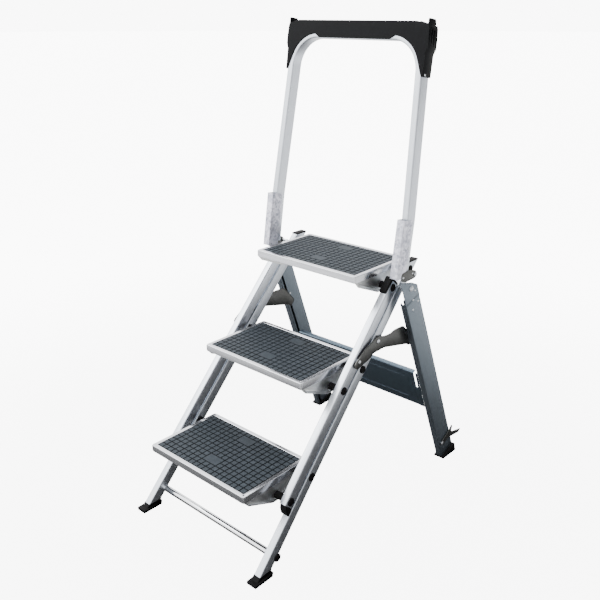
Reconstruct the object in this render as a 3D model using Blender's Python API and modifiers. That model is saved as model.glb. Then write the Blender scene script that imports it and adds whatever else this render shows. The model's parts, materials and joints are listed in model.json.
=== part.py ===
"""Folding step stool with three treads, a tall handrail and a tool tray, in metres with +Z up.

The stool faces -Y, its origin is on the floor under the middle of the object, and it stands open.
Side views are drawn in (y, z) with y counted from the front toe, so a parent empty moves the whole
object back by half its length. Three slanted frames of reference are used:
  rail frame: z runs up along a main rail, y is square to it, the origin is the lowest tread pivot
  leg frame:  z runs up along a rear leg, y is square to it, the origin is the rear legs' hinge
  hand frame: z runs up along the handrail, y is square to it, the origin is the handrail's pivot
"""
import math

import bmesh
import bpy
from mathutils import Matrix, Vector

# overall layout
MIDDLE_Y = 0.4563          # from the front toe to the middle of the object
GAP = 0.0003               # clearance between pieces that touch
HOLE_GAP = 0.0003          # radial clearance round a pin
PIN_RADIUS = 0.0050        # tread pivots
RIVET_RADIUS = 0.0040      # brace rivets and leg bolts

# treads
TREADS = ("low", "mid", "top")
RISE = 0.230               # height from one tread to the next
RUN = 0.211                # depth from one tread to the next
FIRST_PIVOT = (0.2214, 0.2116)
TREAD_HALF_WIDTH = 0.181
TREAD_FRONT = -0.1979      # from the rear pivot to the front edge
TREAD_REAR = 0.0356
TREAD_TOP = 0.0181         # standing face above the pivot
FASCIA_LOW = -0.0015       # lower edge of the front fascia
PLATE = 0.0065             # thickness of the standing plate
SHEET = 0.003              # thickness of fascia and cheeks
MAT_HALF_WIDTH = 0.1685
MAT_MARGIN = 0.0125
MAT_THICK = 0.0032
MAT_RECESS = 0.0030

# rails: two pairs, side by side on each flank
RAIL_OUT_TOP = 0.2195      # outer face at the top tread pivot
RAIL_FLARE = 0.0155        # outward lean per metre down the rail
RAIL_WIDE = 0.0215
RAIL_DEEP = 0.0315
RAIL_WALL = 0.0018
FRONT_LINK = (-0.0790, -0.0375)   # from a main pivot to the front rail's pivot, along and square to the rail
RAIL_END = 0.0142          # aluminium of a front rail runs this far past its end pivots
MAIN_LOW_Z = 0.0092
MAIN_TOP_Z = 0.6905
TIE_ALONG = -0.2181        # tie bar in the rail frame
TIE_SQUARE = 0.0163
TIE_RADIUS = 0.009

# rear legs
LEG_HINGE = (0.6040, 0.6320)
LEG_LEAN = math.radians(21.5)
LEG_OUT = 0.2525           # outer face at the hinge
LEG_SPLAY = 0.0242         # outward lean per metre down the leg
LEG_WIDE = 0.0205
LEG_FRONT = -0.0362        # front face in the leg frame
LEG_REAR = 0.0294
LEG_WALL = 0.0022
LEG_WEB = 0.0020           # the outer wall that is left at the hinge
LEG_BOX_TOP = -0.0340      # the box section ends here and the web goes on
LEG_END = -0.6590
SLOT = (-0.0300, -0.0210)  # slot in the inner wall of the leg
PANEL = (-0.4404, -0.2996)        # lower and upper edge of the cross panel along the legs
PANEL_LIP = 0.0130
PANEL_SHEET = 0.0018
NOTCH_LOW = -0.3600        # the brace's notch in the panel reaches down to here
LATCH_AT = (0.8068, 0.0582)       # pivot of the transport latch

# brace between the rails and the leg's slot
BRACE_ALONG = 0.3995       # main pivot of the brace in the rail frame
BRACE_SPAN = (0.2280, 0.2305)
SLIDER_AT = (0.1492, -0.0367)     # slider's pin from the brace's main pivot
SLIDER_PIN = 0.0022
SLIDER_LOW = -0.3240       # lowest place of the slider along the leg, when folded

# handrail
HAND_PIVOT = (0.6245, 0.6680)
HAND_PIN_RADIUS = 0.0028
HAND_LEAN = math.radians(8.3)
HAND_FRONT = -0.0676       # front face of the tube in the hand frame
HAND_DEEP = 0.037
HAND_WIDE = 0.021
HAND_LOW = 0.0040
HAND_STRAIGHT = 0.150      # the legs of the tube are upright up to here, then lean inwards
HAND_BEND = 0.5187         # where the corner bends begin
HAND_TOP = 0.6187
HAND_X_LOW = 0.2358        # centreline of the tube's legs at the bottom
HAND_X_BEND = 0.2174
BRACKET = (-0.0079, 0.1508)
BRACKET_PROUD = 0.018      # bracket stands this far in front of the tube
BRACKET_WALL = 0.0012
HINGE_SPAN = (0.2482, 0.2500)

# tool tray, in the hand frame
TRAY_PROUD = 0.0028        # the tray stands this far off the tube in front and behind
TRAY_FLOOR = 0.6260
TRAY_BAR = 0.1950          # half length of the tray's straight upper edge
TRAY_INSIDE = 0.1850       # half length of the recess
STRAP_OUT = 0.2306         # outer face of the strap down each side
APRON_BAR = 0.1190         # the apron covers the tube's face fully up to here
APRON_ARCH = 0.0895        # and from there its edge is an arc inside the tube's bend

SIDES = (("left", -1), ("right", 1))
SLOPE = math.atan2(RISE, RUN)
UP_RAIL = Vector((0, math.cos(SLOPE), math.sin(SLOPE)))
OFF_RAIL = Vector((0, math.sin(SLOPE), -math.cos(SLOPE)))
TOP_ALONG = 2 * math.hypot(RISE, RUN)


def finish(name, colour, roughness, metallic):
    """A plain material with one colour."""
    material = bpy.data.materials.new(name)
    material.use_nodes = True
    shader = material.node_tree.nodes["Principled BSDF"]
    shader.inputs["Base Color"].default_value = (*colour, 1)
    shader.inputs["Roughness"].default_value = roughness
    shader.inputs["Metallic"].default_value = metallic
    return material


def add_object(name, mesh, parent=None, material=None):
    """Link a mesh as a part of the object."""
    part = bpy.data.objects.new(name, mesh)
    parts.objects.link(part)
    part.parent = parent
    if material:
        mesh.materials.append(material)
    return part


def frame(name, place, turn=0.0, parent=None):
    """An empty at (y, z), turned about X, that carries the pieces of one body."""
    empty = bpy.data.objects.new(name, None)
    empty.empty_display_size = 0.03
    empty.location = (0, place[0], place[1])
    empty.rotation_euler = (turn, 0, 0)
    empty.parent = parent
    parts.objects.link(empty)
    return empty


def tidy_mesh(mesh):
    """Weld doubles and point the faces outwards."""
    shape = bmesh.new()
    shape.from_mesh(mesh)
    bmesh.ops.remove_doubles(shape, verts=shape.verts, dist=0.00001)
    bmesh.ops.recalc_face_normals(shape, faces=shape.faces)
    shape.to_mesh(mesh)
    shape.free()


def rounded(corners, steps=4):
    """Outline through (u, v, radius) corners, each replaced by an arc when its radius is above zero."""
    outline = []
    count = len(corners)
    for index, (u, v, radius) in enumerate(corners):
        here = Vector((u, v))
        if radius <= 0:
            outline.append(here)
            continue
        before = Vector(corners[index - 1][:2]) - here
        after = Vector(corners[(index + 1) % count][:2]) - here
        before.normalize()
        after.normalize()
        half = before.angle(after) / 2
        centre = here + (before + after).normalized() * radius / math.sin(half)
        start = here + before * radius / math.tan(half) - centre
        sweep = start.angle_signed(here + after * radius / math.tan(half) - centre)
        for step in range(steps + 1):
            turned_by = Matrix.Rotation(-sweep * step / steps, 2)
            outline.append(centre + turned_by @ start)
    return outline


def box_outline(u0, v0, u1, v1, radius=0.0):
    """Rectangle with rounded corners."""
    return rounded([(u0, v0, radius), (u1, v0, radius), (u1, v1, radius), (u0, v1, radius)])


PLANES = {
    "YZ": Matrix(((0, 0, 1, 0), (1, 0, 0, 0), (0, 1, 0, 0), (0, 0, 0, 1))),
    "XZ": Matrix(((1, 0, 0, 0), (0, 0, -1, 0), (0, 1, 0, 0), (0, 0, 0, 1))),
    "XY": Matrix.Identity(4),
}


def slab(name, outlines, low, high, plane):
    """Mesh of a flat outline, and the holes in it, between two levels along the plane's normal."""
    curve = bpy.data.curves.new(name, "CURVE")
    curve.dimensions = "2D"
    curve.fill_mode = "BOTH"
    curve.extrude = (high - low) / 2
    for outline in outlines:
        spline = curve.splines.new("POLY")
        spline.points.add(len(outline) - 1)
        spline.use_cyclic_u = True
        for point, (u, v) in zip(spline.points, outline):
            point.co = (u, v, 0, 1)
    guide = bpy.data.objects.new(name + "_outline", curve)
    parts.objects.link(guide)
    evaluated = guide.evaluated_get(bpy.context.evaluated_depsgraph_get())
    mesh = bpy.data.meshes.new_from_object(evaluated)
    mesh.name = name
    bpy.data.objects.remove(guide)
    middle = (low + high) / 2
    if plane == "XZ":
        middle = -middle
    mesh.transform(PLANES[plane] @ Matrix.Translation((0, 0, middle)))
    tidy_mesh(mesh)
    return mesh


def block(name, low, high):
    """Mesh of a plain box between two corners."""
    mesh = bpy.data.meshes.new(name)
    shape = bmesh.new()
    size = [b - a for a, b in zip(low, high)]
    place = [(a + b) / 2 for a, b in zip(low, high)]
    bmesh.ops.create_cube(shape, size=1, matrix=Matrix.LocRotScale(place, None, size))
    shape.to_mesh(mesh)
    shape.free()
    return mesh


def rod(name, centre, radius, low, high, segments=20):
    """Mesh of a round bar along X through (y, z)."""
    mesh = bpy.data.meshes.new(name)
    shape = bmesh.new()
    across = Matrix.Rotation(math.pi / 2, 4, "Y")
    place = Matrix.Translation(((low + high) / 2, centre[0], centre[1]))
    bmesh.ops.create_cone(shape, cap_ends=True, segments=segments, radius1=radius, radius2=radius,
                          depth=abs(high - low), matrix=place @ across)
    shape.to_mesh(mesh)
    shape.free()
    return mesh


def turned(name, sections, side, segments=18):
    """Mesh of a stepped pin along X from (start, end, radius) sections, outwards from the middle."""
    profile = [(0, sections[-1][1])]
    for start, end, radius in reversed(sections):
        profile += [(radius, end), (radius, start)]
    profile.append((0, sections[0][0]))
    line = bpy.data.meshes.new(name + "_profile")
    edges = [(index, index + 1) for index in range(len(profile) - 1)]
    line.from_pydata([(radius, 0, along) for radius, along in profile], edges, [])
    guide = bpy.data.objects.new(name + "_profile", line)
    parts.objects.link(guide)
    screw = guide.modifiers.new("turn", "SCREW")
    screw.axis = "Z"
    screw.steps = segments
    screw.render_steps = segments
    screw.use_merge_vertices = True
    screw.merge_threshold = 0.00001
    screw.use_smooth_shade = True
    evaluated = guide.evaluated_get(bpy.context.evaluated_depsgraph_get())
    mesh = bpy.data.meshes.new_from_object(evaluated)
    mesh.name = name
    bpy.data.objects.remove(guide)
    mesh.transform(Matrix.Rotation(side * math.pi / 2, 4, "Y"))
    tidy_mesh(mesh)
    mesh.set_sharp_from_angle(angle=math.radians(40))
    return mesh


def shape_with(part, mesh, operation):
    """Cut a mesh out of a part, or join it on, in the part's own frame."""
    tool = bpy.data.objects.new(mesh.name + "_tool", mesh)
    cutters.objects.link(tool)
    tool.parent = part.parent
    tool.hide_render = True
    tool.display_type = "WIRE"
    modifier = part.modifiers.new(operation.lower(), "BOOLEAN")
    modifier.operation = operation
    modifier.solver = "EXACT"
    modifier.object = tool


def span(side, low, high):
    """The stretch low..high on the right flank, mirrored for the left one."""
    return (low, high) if side > 0 else (-high, -low)


def lean_out(mesh, side, slope, level=0.0):
    """Shear a mesh outwards, more the lower it lies."""
    for vertex in mesh.vertices:
        vertex.co.x += side * slope * (level - vertex.co.z)


def rail_out(along):
    """Outer face of the rails at a distance up the rail frame."""
    return RAIL_OUT_TOP + RAIL_FLARE * (TOP_ALONG - along)


def on_rail(along, square=0.0):
    """A point of the rail frame as (y, z) from the toe."""
    point = UP_RAIL * along + OFF_RAIL * square
    return (FIRST_PIVOT[0] + point.y, FIRST_PIVOT[1] + point.z)


def level_cut(mesh, height, lower, middle):
    """Move the lower or upper end of a rail onto a level plane."""
    for vertex in mesh.vertices:
        if (vertex.co.z < middle) == lower:
            rise = height - FIRST_PIVOT[1] + vertex.co.y * math.cos(SLOPE)
            vertex.co.z = rise / math.sin(SLOPE)


def rail_section(side, square):
    """Outline of the hollow rail and its bore, in the rail frame, before it leans out."""
    x0, x1 = span(side, RAIL_OUT_TOP - RAIL_WIDE, RAIL_OUT_TOP)
    half = RAIL_DEEP / 2
    wall = RAIL_WALL
    outer = box_outline(x0, square - half, x1, square + half, 0.0015)
    bore = box_outline(x0 + wall, square - half + wall, x1 - wall, square + half - wall)
    return [outer, bore]


def drill(part, side, along, square, radius, outer_only=False):
    """Hole for a pin along X through a rail."""
    out = rail_out(along)
    inner = out - RAIL_WIDE / 2 if outer_only else out - RAIL_WIDE - 0.01
    low, high = span(side, inner, out + 0.01)
    name = f"hole_{part.name}_{len(part.modifiers)}"
    shape_with(part, rod(name, (square, along), radius + HOLE_GAP, low, high), "DIFFERENCE")


def make_main_rail(side_name, side):
    """Load-bearing rail from the floor to the top tread, with its foot pad and top cap."""
    low = -0.30
    high = TOP_ALONG + 0.03
    mesh = slab("main_rail_" + side_name, rail_section(side, 0.0), low, high, "XY")
    level_cut(mesh, MAIN_LOW_Z, True, 0.0)
    level_cut(mesh, MAIN_TOP_Z, False, 0.0)
    lean_out(mesh, side, RAIL_FLARE, TOP_ALONG)
    rail = add_object("main_rail_" + side_name, mesh, rail_frame, aluminium)
    for index in range(len(TREADS)):
        drill(rail, side, index * TOP_ALONG / 2, 0.0, PIN_RADIUS)
    drill(rail, side, TIE_ALONG, TIE_SQUARE, TIE_RADIUS)
    drill(rail, side, BRACE_ALONG, 0.0, RIVET_RADIUS, True)
    drill(rail, side, *in_rail(LEG_HINGE), RIVET_RADIUS, True)
    drill(rail, side, *in_rail(HAND_PIVOT), HAND_PIN_RADIUS, True)

    outline = [(-0.0005, 0), (0.0620, 0), (0.0650, 0.0130), (0.0622, 0.0130), (0.0585, 0.0089),
               (-0.0005, 0.0089)]
    toe = slab("main_foot_" + side_name, [outline], *span(side, 0.2075, 0.2400), "YZ")
    foot = add_object("main_foot_" + side_name, toe, stool, rubber)
    plug_low = rail_out(TIE_ALONG - 0.06) - RAIL_WIDE + RAIL_WALL + 0.0012
    plug = slab("foot_plug_" + side_name,
                [[(0.0185, 0.005), (0.0500, 0.005), (0.0560, 0.0150), (0.0240, 0.0150)]],
                *span(side, plug_low, plug_low + 0.0150), "YZ")
    shape_with(foot, plug, "UNION")

    centre, _ = on_rail((MAIN_TOP_Z - FIRST_PIVOT[1]) / math.sin(SLOPE))
    half = RAIL_DEEP / math.sin(SLOPE) / 2
    out = rail_out(TOP_ALONG + 0.02)
    cap = slab("main_cap_" + side_name,
               [box_outline(centre - half, MAIN_TOP_Z + GAP, centre + half, MAIN_TOP_Z + 0.004, 0.001)],
               *span(side, out - RAIL_WIDE, out), "YZ")
    cap = add_object("main_cap_" + side_name, cap, stool, rubber)
    spigot = slab("cap_plug_" + side_name,
                  [[(centre - 0.0235, MAIN_TOP_Z - 0.008), (centre + 0.0065, MAIN_TOP_Z - 0.008),
                    (centre + 0.0145, MAIN_TOP_Z + 0.002), (centre - 0.0155, MAIN_TOP_Z + 0.002)]],
                  *span(side, out - RAIL_WIDE + 0.004, out - 0.004), "YZ")
    shape_with(cap, spigot, "UNION")


def in_rail(point):
    """A (y, z) point from the toe in the rail frame, as (along, square)."""
    offset = Vector((0, point[0] - FIRST_PIVOT[0], point[1] - FIRST_PIVOT[1]))
    return (offset.dot(UP_RAIL), offset.dot(OFF_RAIL))


def make_front_rail(side_name, side):
    """Rail that ties the tread fronts together, with its stop below and its cap above."""
    square = FRONT_LINK[1]
    low = FRONT_LINK[0] - RAIL_END
    high = TOP_ALONG + FRONT_LINK[0] + RAIL_END
    mesh = slab("front_rail_" + side_name, rail_section(side, square), low, high, "XY")
    lean_out(mesh, side, RAIL_FLARE, TOP_ALONG)
    rail = add_object("front_rail_" + side_name, mesh, front_frame, aluminium)
    for index in range(len(TREADS)):
        drill(rail, side, index * TOP_ALONG / 2 + FRONT_LINK[0], square, PIN_RADIUS)
    drill(rail, side, BRACE_ALONG + FRONT_LINK[0], square, RIVET_RADIUS, True)

    half = RAIL_DEEP / 2
    face = -FRONT_LINK[1] - half - 0.0004
    end = low - GAP
    stop = [(square - 0.0100, end), (square + half - 0.0002, end), (square + face, end - 0.0085),
            (square + face, end - 0.0220), (square + 0.0100, end - 0.0202), (square - 0.0040, end - 0.0105)]
    add_fitting("front_stop_" + side_name, side, stop, low, square, True)
    end = high + GAP
    lip = square - half - GAP
    cap = [(square + half, end), (square + half, end + 0.0070), (lip - 0.0062, end + 0.0070),
           (lip - 0.0062, end - 0.0390), (lip, end - 0.0430), (lip, end)]
    add_fitting("front_cap_" + side_name, side, cap, high, square, False)


def add_fitting(name, side, outline, end, square, below):
    """Black fitting on a front rail's end, with a plug inside the rail."""
    out = rail_out(end)
    low, high = span(side, out - RAIL_WIDE, out)
    fitting = add_object(name, slab(name, [outline], low, high, "YZ"), front_frame, rubber)
    inset = RAIL_WALL + 0.0012
    front = square - (0.0045 if below else 0.0080)
    bottom, top = (end - 0.0025, end + 0.0060) if below else (end - 0.0060, end + 0.0025)
    plug = block(name + "_plug", (low + inset, front, bottom), (high - inset, square + 0.012, top))
    shape_with(fitting, plug, "UNION")


def make_tie_bar():
    """Chromed bar across the feet, held by a plug in each end."""
    out = rail_out(TIE_ALONG)
    bar = add_object("tie_bar", rod("tie_bar", (0, 0), TIE_RADIUS, -out, out, 24), tie_frame, chrome)
    bar.data.shade_smooth()
    bar.data.set_sharp_from_angle(angle=math.radians(40))
    for side_name, side in SIDES:
        low, high = span(side, out - 0.015, out + 0.01)
        shape_with(bar, rod("tie_bore_" + side_name, (0, 0), 0.0063, low, high), "DIFFERENCE")
        sections = [(out - 0.012, out + 0.0005, 0.0060), (out + 0.0005, out + 0.0036, 0.0112),
                    (out + 0.0036, out + 0.0046, 0.0098)]
        add_object("tie_plug_" + side_name, turned("tie_plug_" + side_name, sections, side),
                   tie_frame, rubber)


def tread_cheek():
    """Side view of a tread's cheek, from the tread's rear pivot."""
    top = TREAD_TOP - 0.0020
    return rounded([(TREAD_FRONT + 0.0004, top, 0), (TREAD_FRONT + 0.0004, FASCIA_LOW, 0),
                    (-0.1800, -0.0170, 0.02), (-0.1250, -0.0400, 0.02), (-0.0930, -0.0535, 0.01),
                    (-0.0690, -0.0535, 0.01), (-0.0440, -0.0400, 0.01), (0.0100, -0.0165, 0.01),
                    (TREAD_REAR - 0.0004, -0.0030, 0.003), (TREAD_REAR - 0.0004, top, 0)])


def make_tread(index, level):
    """One tread: pressed frame with two cheeks, ribbed mat and four pivot pins."""
    carrier = tread_frames[level]
    half = TREAD_HALF_WIDTH
    name = "tread_" + level
    plate = slab(name, [box_outline(-half, TREAD_FRONT, half, TREAD_REAR, 0.006)],
                 TREAD_TOP - PLATE, TREAD_TOP, "XY")
    tread = add_object(name, plate, carrier, aluminium)
    skirt = slab("skirt_" + level,
                 [box_outline(-half + inset, TREAD_FRONT + inset, half - inset, TREAD_REAR - inset, 0.006)
                  for inset in (0.0002, SHEET)],
                 FASCIA_LOW, TREAD_TOP - 0.002, "XY")
    shape_with(tread, skirt, "UNION")
    for side_name, side in SIDES:
        low, high = span(side, half - SHEET - 0.0006, half - 0.0006)
        shape_with(tread, slab(f"cheek_{level}_{side_name}", [tread_cheek()], low, high, "YZ"), "UNION")
    mat_front = TREAD_FRONT + MAT_MARGIN
    mat_rear = TREAD_REAR - MAT_MARGIN
    recess = slab("recess_" + level,
                  [box_outline(-MAT_HALF_WIDTH - GAP, mat_front - GAP, MAT_HALF_WIDTH + GAP, mat_rear + GAP,
                               0.004)],
                  TREAD_TOP - MAT_RECESS - GAP, TREAD_TOP + 0.01, "XY")
    shape_with(tread, recess, "DIFFERENCE")
    for along, square in ((0.0, 0.0), FRONT_LINK):
        point = UP_RAIL * along + OFF_RAIL * square
        hole = rod(f"tread_hole_{level}_{square}", (point.y, point.z), PIN_RADIUS + HOLE_GAP, -0.3, 0.3)
        shape_with(tread, hole, "DIFFERENCE")
    mat = slab("tread_mat_" + level,
               [box_outline(-MAT_HALF_WIDTH, mat_front, MAT_HALF_WIDTH, mat_rear, 0.004)],
               TREAD_TOP - MAT_RECESS, TREAD_TOP - MAT_RECESS + MAT_THICK, "XY")
    add_object("tread_mat_" + level, mat, carrier, mat_rubber)
    for side_name, side in SIDES:
        along = index * TOP_ALONG / 2
        head_tall = 0.0018 if level == "top" else 0.0030
        make_pivot_pin(f"main_pin_{level}_{side_name}", side, carrier, along, (0, 0), head_tall)
        point = UP_RAIL * FRONT_LINK[0] + OFF_RAIL * FRONT_LINK[1]
        make_pivot_pin(f"front_pin_{level}_{side_name}", side, carrier, along + FRONT_LINK[0],
                       (point.y, point.z), head_tall)


def make_pivot_pin(name, side, carrier, along, place, head_tall):
    """Black pivot: washer inside the cheek, bush between cheek and rail, head outside the rail."""
    cheek_in = TREAD_HALF_WIDTH - SHEET - 0.0006
    cheek_out = TREAD_HALF_WIDTH
    rail_outer = rail_out(along)
    rail_inner = rail_outer - RAIL_WIDE
    head = rail_outer + 0.0005
    sections = [(cheek_in - 0.0030, cheek_in - GAP, 0.0080), (cheek_in - GAP, cheek_out + GAP, PIN_RADIUS),
                (cheek_out + GAP, rail_inner - 0.0005, 0.0100), (rail_inner - 0.0005, head, PIN_RADIUS),
                (head, head + head_tall - 0.0006, 0.0110), (head + head_tall - 0.0006, head + head_tall, 0.0098)]
    pin = add_object(name, turned(name, sections, side), carrier, rubber)
    pin.location = (0, place[0], place[1])


def make_brace(side_name, side):
    """Pressed steel brace that carries the rear leg's push to both rails."""
    name = "brace_" + side_name
    outline = rounded([(-0.1030, -0.0356, 0.010), (-0.0930, -0.0530, 0.010), (-0.0300, -0.0370, 0.010),
                       (-0.0241, -0.0286, 0.008), (0.0283, -0.0277, 0), (0.1366, -0.0537, 0.004),
                       (0.1520, -0.0630, 0.006), (0.1700, -0.0460, 0.012), (0.1185, 0.0090, 0.008),
                       (0.0772, 0.0100, 0.010), (0.0530, 0.0046, 0.010), (0.0305, 0.0064, 0.012),
                       (-0.0043, 0.0160, 0.012), (-0.0560, -0.0036, 0.008)])
    brace = add_object(name, slab(name, [outline], *span(side, *BRACE_SPAN), "YZ"), brace_frame, zinc)
    point = UP_RAIL * FRONT_LINK[0] + OFF_RAIL * FRONT_LINK[1]
    pivots = (("main", (0.0, 0.0), BRACE_ALONG), ("front", (point.y, point.z), BRACE_ALONG + FRONT_LINK[0]))
    for which, place, along in pivots:
        low, high = span(side, BRACE_SPAN[0] - 0.01, BRACE_SPAN[1] + 0.01)
        hole = rod(f"brace_hole_{which}_{side_name}", place, RIVET_RADIUS + HOLE_GAP, low, high)
        shape_with(brace, hole, "DIFFERENCE")
        out = rail_out(along)
        sections = [(out - RAIL_WALL - 0.0020, out + 0.0005, RIVET_RADIUS),
                    (out + 0.0005, BRACE_SPAN[0] - GAP, 0.0080),
                    (BRACE_SPAN[0] - GAP, BRACE_SPAN[1] + GAP, RIVET_RADIUS),
                    (BRACE_SPAN[1] + GAP, BRACE_SPAN[1] + 0.0013, 0.0075)]
        rivet = add_object(f"brace_rivet_{which}_{side_name}",
                           turned(f"brace_rivet_{which}_{side_name}", sections, side, 16),
                           brace_frame, zinc)
        rivet.location = (0, place[0], place[1])


def leg_point(y, z):
    """A (y, z) offset from the hinge, turned into the leg frame."""
    return (y * math.cos(LEG_LEAN) + z * math.sin(LEG_LEAN), z * math.cos(LEG_LEAN) - y * math.sin(LEG_LEAN))


def make_rear_leg(side_name, side):
    """Rear leg: closed section with a slot for the slider, cut down to one wall at the hinge."""
    inner = LEG_OUT - LEG_WIDE
    wall = LEG_WALL
    outline = [(inner, SLOT[0]), (inner, LEG_FRONT), (LEG_OUT, LEG_FRONT), (LEG_OUT, LEG_REAR),
               (inner, LEG_REAR), (inner, SLOT[1]), (inner + wall, SLOT[1]), (inner + wall, LEG_REAR - wall),
               (LEG_OUT - wall, LEG_REAR - wall), (LEG_OUT - wall, LEG_FRONT + wall),
               (inner + wall, LEG_FRONT + wall), (inner + wall, SLOT[0])]
    if side < 0:
        outline = [(-x, y) for x, y in reversed(outline)]
    name = "rear_leg_" + side_name
    mesh = slab(name, [outline], LEG_END, 0.0480, "XY")
    lean_out(mesh, side, LEG_SPLAY)
    leg = add_object(name, mesh, leg_frame, leg_metal)
    low, high = span(side, inner - 0.02, LEG_OUT - LEG_WEB)
    shape_with(leg, block("leg_relief_" + side_name, (low, -0.06, LEG_BOX_TOP), (high, 0.06, 0.08)),
               "DIFFERENCE")
    corner = [(-0.06, 0.0600), (-0.0362, 0.0440), (0.0080, 0.0165), (0.0200, 0.0040), (0.06, -0.0400),
              (0.06, 0.09), (-0.06, 0.09)]
    low, high = span(side, inner - 0.02, LEG_OUT + 0.02)
    shape_with(leg, slab("leg_corner_" + side_name, [corner], low, high, "YZ"), "DIFFERENCE")
    hole = rod("leg_hole_" + side_name, (0, 0), RIVET_RADIUS + HOLE_GAP, low, high)
    shape_with(leg, hole, "DIFFERENCE")
    make_rear_foot(side_name, side)
    make_leg_bolt(side_name, side)


def make_rear_foot(side_name, side):
    """Wedge under the square-cut end of a rear leg, level on the floor."""
    sine, cosine = math.sin(LEG_LEAN), math.cos(LEG_LEAN)
    corners = []
    for square in (LEG_FRONT - 0.0020, LEG_REAR + 0.0020):
        along = LEG_END - GAP
        corners.append((square * cosine - along * sine, square * sine + along * cosine))
    floor = -LEG_HINGE[1]
    (front_y, front_z), (rear_y, rear_z) = corners
    outline = [(front_y - 0.0005, floor), (rear_y + 0.0100, floor), (rear_y + 0.0080, floor + 0.004),
               (rear_y, rear_z), (front_y, front_z)]
    name = "rear_foot_" + side_name
    foot = add_object(name, slab(name, [outline], *span(side, 0.2417, 0.2777), "YZ"), hinge_frame, rubber)
    at = 0.5 * (front_y + rear_y), 0.5 * (front_z + rear_z)
    inner = LEG_OUT - LEG_WIDE + LEG_SPLAY * -LEG_END
    plug = slab("foot_peg_" + side_name,
                [[(at[0] - 0.012, at[1] - 0.008), (at[0] + 0.020, at[1] + 0.002),
                  (at[0] + 0.016, at[1] + 0.014), (at[0] - 0.016, at[1] + 0.003)]],
                *span(side, inner + LEG_WALL + 0.0015, inner + LEG_WIDE - LEG_WALL - 0.0015), "YZ")
    shape_with(foot, plug, "UNION")


def make_leg_bolt(side_name, side):
    """Bolt that the rear leg swings on, with the spacer that holds it clear of the rail."""
    along, _ = in_rail(LEG_HINGE)
    out = rail_out(along)
    sections = [(out - RAIL_WALL - 0.0030, out + 0.0005, RIVET_RADIUS),
                (out + 0.0005, LEG_OUT - LEG_WEB - GAP, 0.0085),
                (LEG_OUT - LEG_WEB - GAP, LEG_OUT + 0.0005, RIVET_RADIUS),
                (LEG_OUT + 0.0005, LEG_OUT + 0.0030, 0.0080), (LEG_OUT + 0.0030, LEG_OUT + 0.0042, 0.0060)]
    bolt = add_object("leg_bolt_" + side_name, turned("leg_bolt_" + side_name, sections, side), stool, zinc)
    bolt.location = (0, *LEG_HINGE)


def make_cross_panel():
    """Pressed panel between the rear legs, flush with their front, notched where the braces swing by."""
    low, high = PANEL
    face = LEG_FRONT
    lip = PANEL_LIP
    sheet = PANEL_SHEET
    outline = [(face, low), (face + lip, low), (face + lip, low + sheet), (face + sheet, low + sheet),
               (face + sheet, high - sheet), (face + lip, high - sheet), (face + lip, high), (face, high)]
    half = LEG_OUT - LEG_WIDE - GAP + LEG_SPLAY * -high
    mesh = slab("cross_panel", [outline], -half, half, "YZ")
    for vertex in mesh.vertices:
        vertex.co.x += math.copysign(LEG_SPLAY * (high - vertex.co.z), vertex.co.x)
    panel = add_object("cross_panel", mesh, leg_frame, leg_metal)
    for side_name, side in SIDES:
        x0, x1 = span(side, BRACE_SPAN[0] - 0.0012, BRACE_SPAN[1] + 0.0025)
        notch = block("panel_notch_" + side_name, (x0, face - 0.01, NOTCH_LOW),
                      (x1, face + 0.05, high + 0.01))
        shape_with(panel, notch, "DIFFERENCE")
        x0, x1 = span(side, BRACE_SPAN[0], half + 0.01)
        relief = block("panel_relief_" + side_name, (x0, face + 0.0023, high - 0.01),
                       (x1, face + 0.05, high + 0.01))
        shape_with(panel, relief, "DIFFERENCE")


def make_slider(side_name, side):
    """Block that runs inside the leg's slot, on a pin beside the end of the brace."""
    inner = LEG_OUT - LEG_WIDE
    name = "slider_" + side_name
    near = inner + LEG_WALL - LEG_SPLAY * SLIDER_LOW + 0.0008
    far = LEG_OUT - LEG_WALL - LEG_SPLAY * brace_slider[1] - 0.0008
    low, high = span(side, near, far)
    slider = add_object(name, block(name, (low, -0.0058, -0.012), (high, 0.0058, 0.012)), slider_frame,
                        mat_rubber)
    low, high = span(side, BRACE_SPAN[1] + 0.0008, near + 0.001)
    shape_with(slider, rod("slider_pin_" + side_name, (0, 0), SLIDER_PIN, low, high), "UNION")


def make_latch():
    """Transport latch on the outside of the right rear leg."""
    low = LEG_OUT - LEG_SPLAY * LEG_END + 0.0005
    outline = rounded([(-0.0090, -0.0065, 0.006), (0.0080, -0.0080, 0.003), (0.0330, 0.0040, 0.004),
                       (0.0520, 0.0020, 0.003), (0.0980, -0.0040, 0.002), (0.1100, 0.0060, 0.003),
                       (0.0700, 0.0150, 0.003), (0.0500, 0.0210, 0.004), (0.0560, 0.0400, 0.003),
                       (0.0490, 0.0450, 0.003), (0.0330, 0.0290, 0.004), (0.0000, 0.0090, 0.006)])
    plate = add_object("latch", slab("latch", [outline], low, low + 0.0020, "YZ"), latch_frame, zinc)
    hole = rod("latch_hole", (0, 0), 0.0030 + HOLE_GAP, low - 0.01, low + 0.01)
    shape_with(plate, hole, "DIFFERENCE")
    sections = [(low - 0.0060, low + 0.0024, 0.0030), (low + 0.0024, low + 0.0042, 0.0056)]
    pin = add_object("latch_pin", turned("latch_pin", sections, 1, 16), hinge_frame, zinc)
    pin.location = (0, LATCH_AT[0] - LEG_HINGE[0], LATCH_AT[1] - LEG_HINGE[1])
    leg = bpy.data.objects["rear_leg_right"]
    along = leg_point(LATCH_AT[0] - LEG_HINGE[0], LATCH_AT[1] - LEG_HINGE[1])
    hole = rod("latch_pin_hole", along, 0.0030 + HOLE_GAP, low - 0.008, low + 0.01)
    shape_with(leg, hole, "DIFFERENCE")


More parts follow.
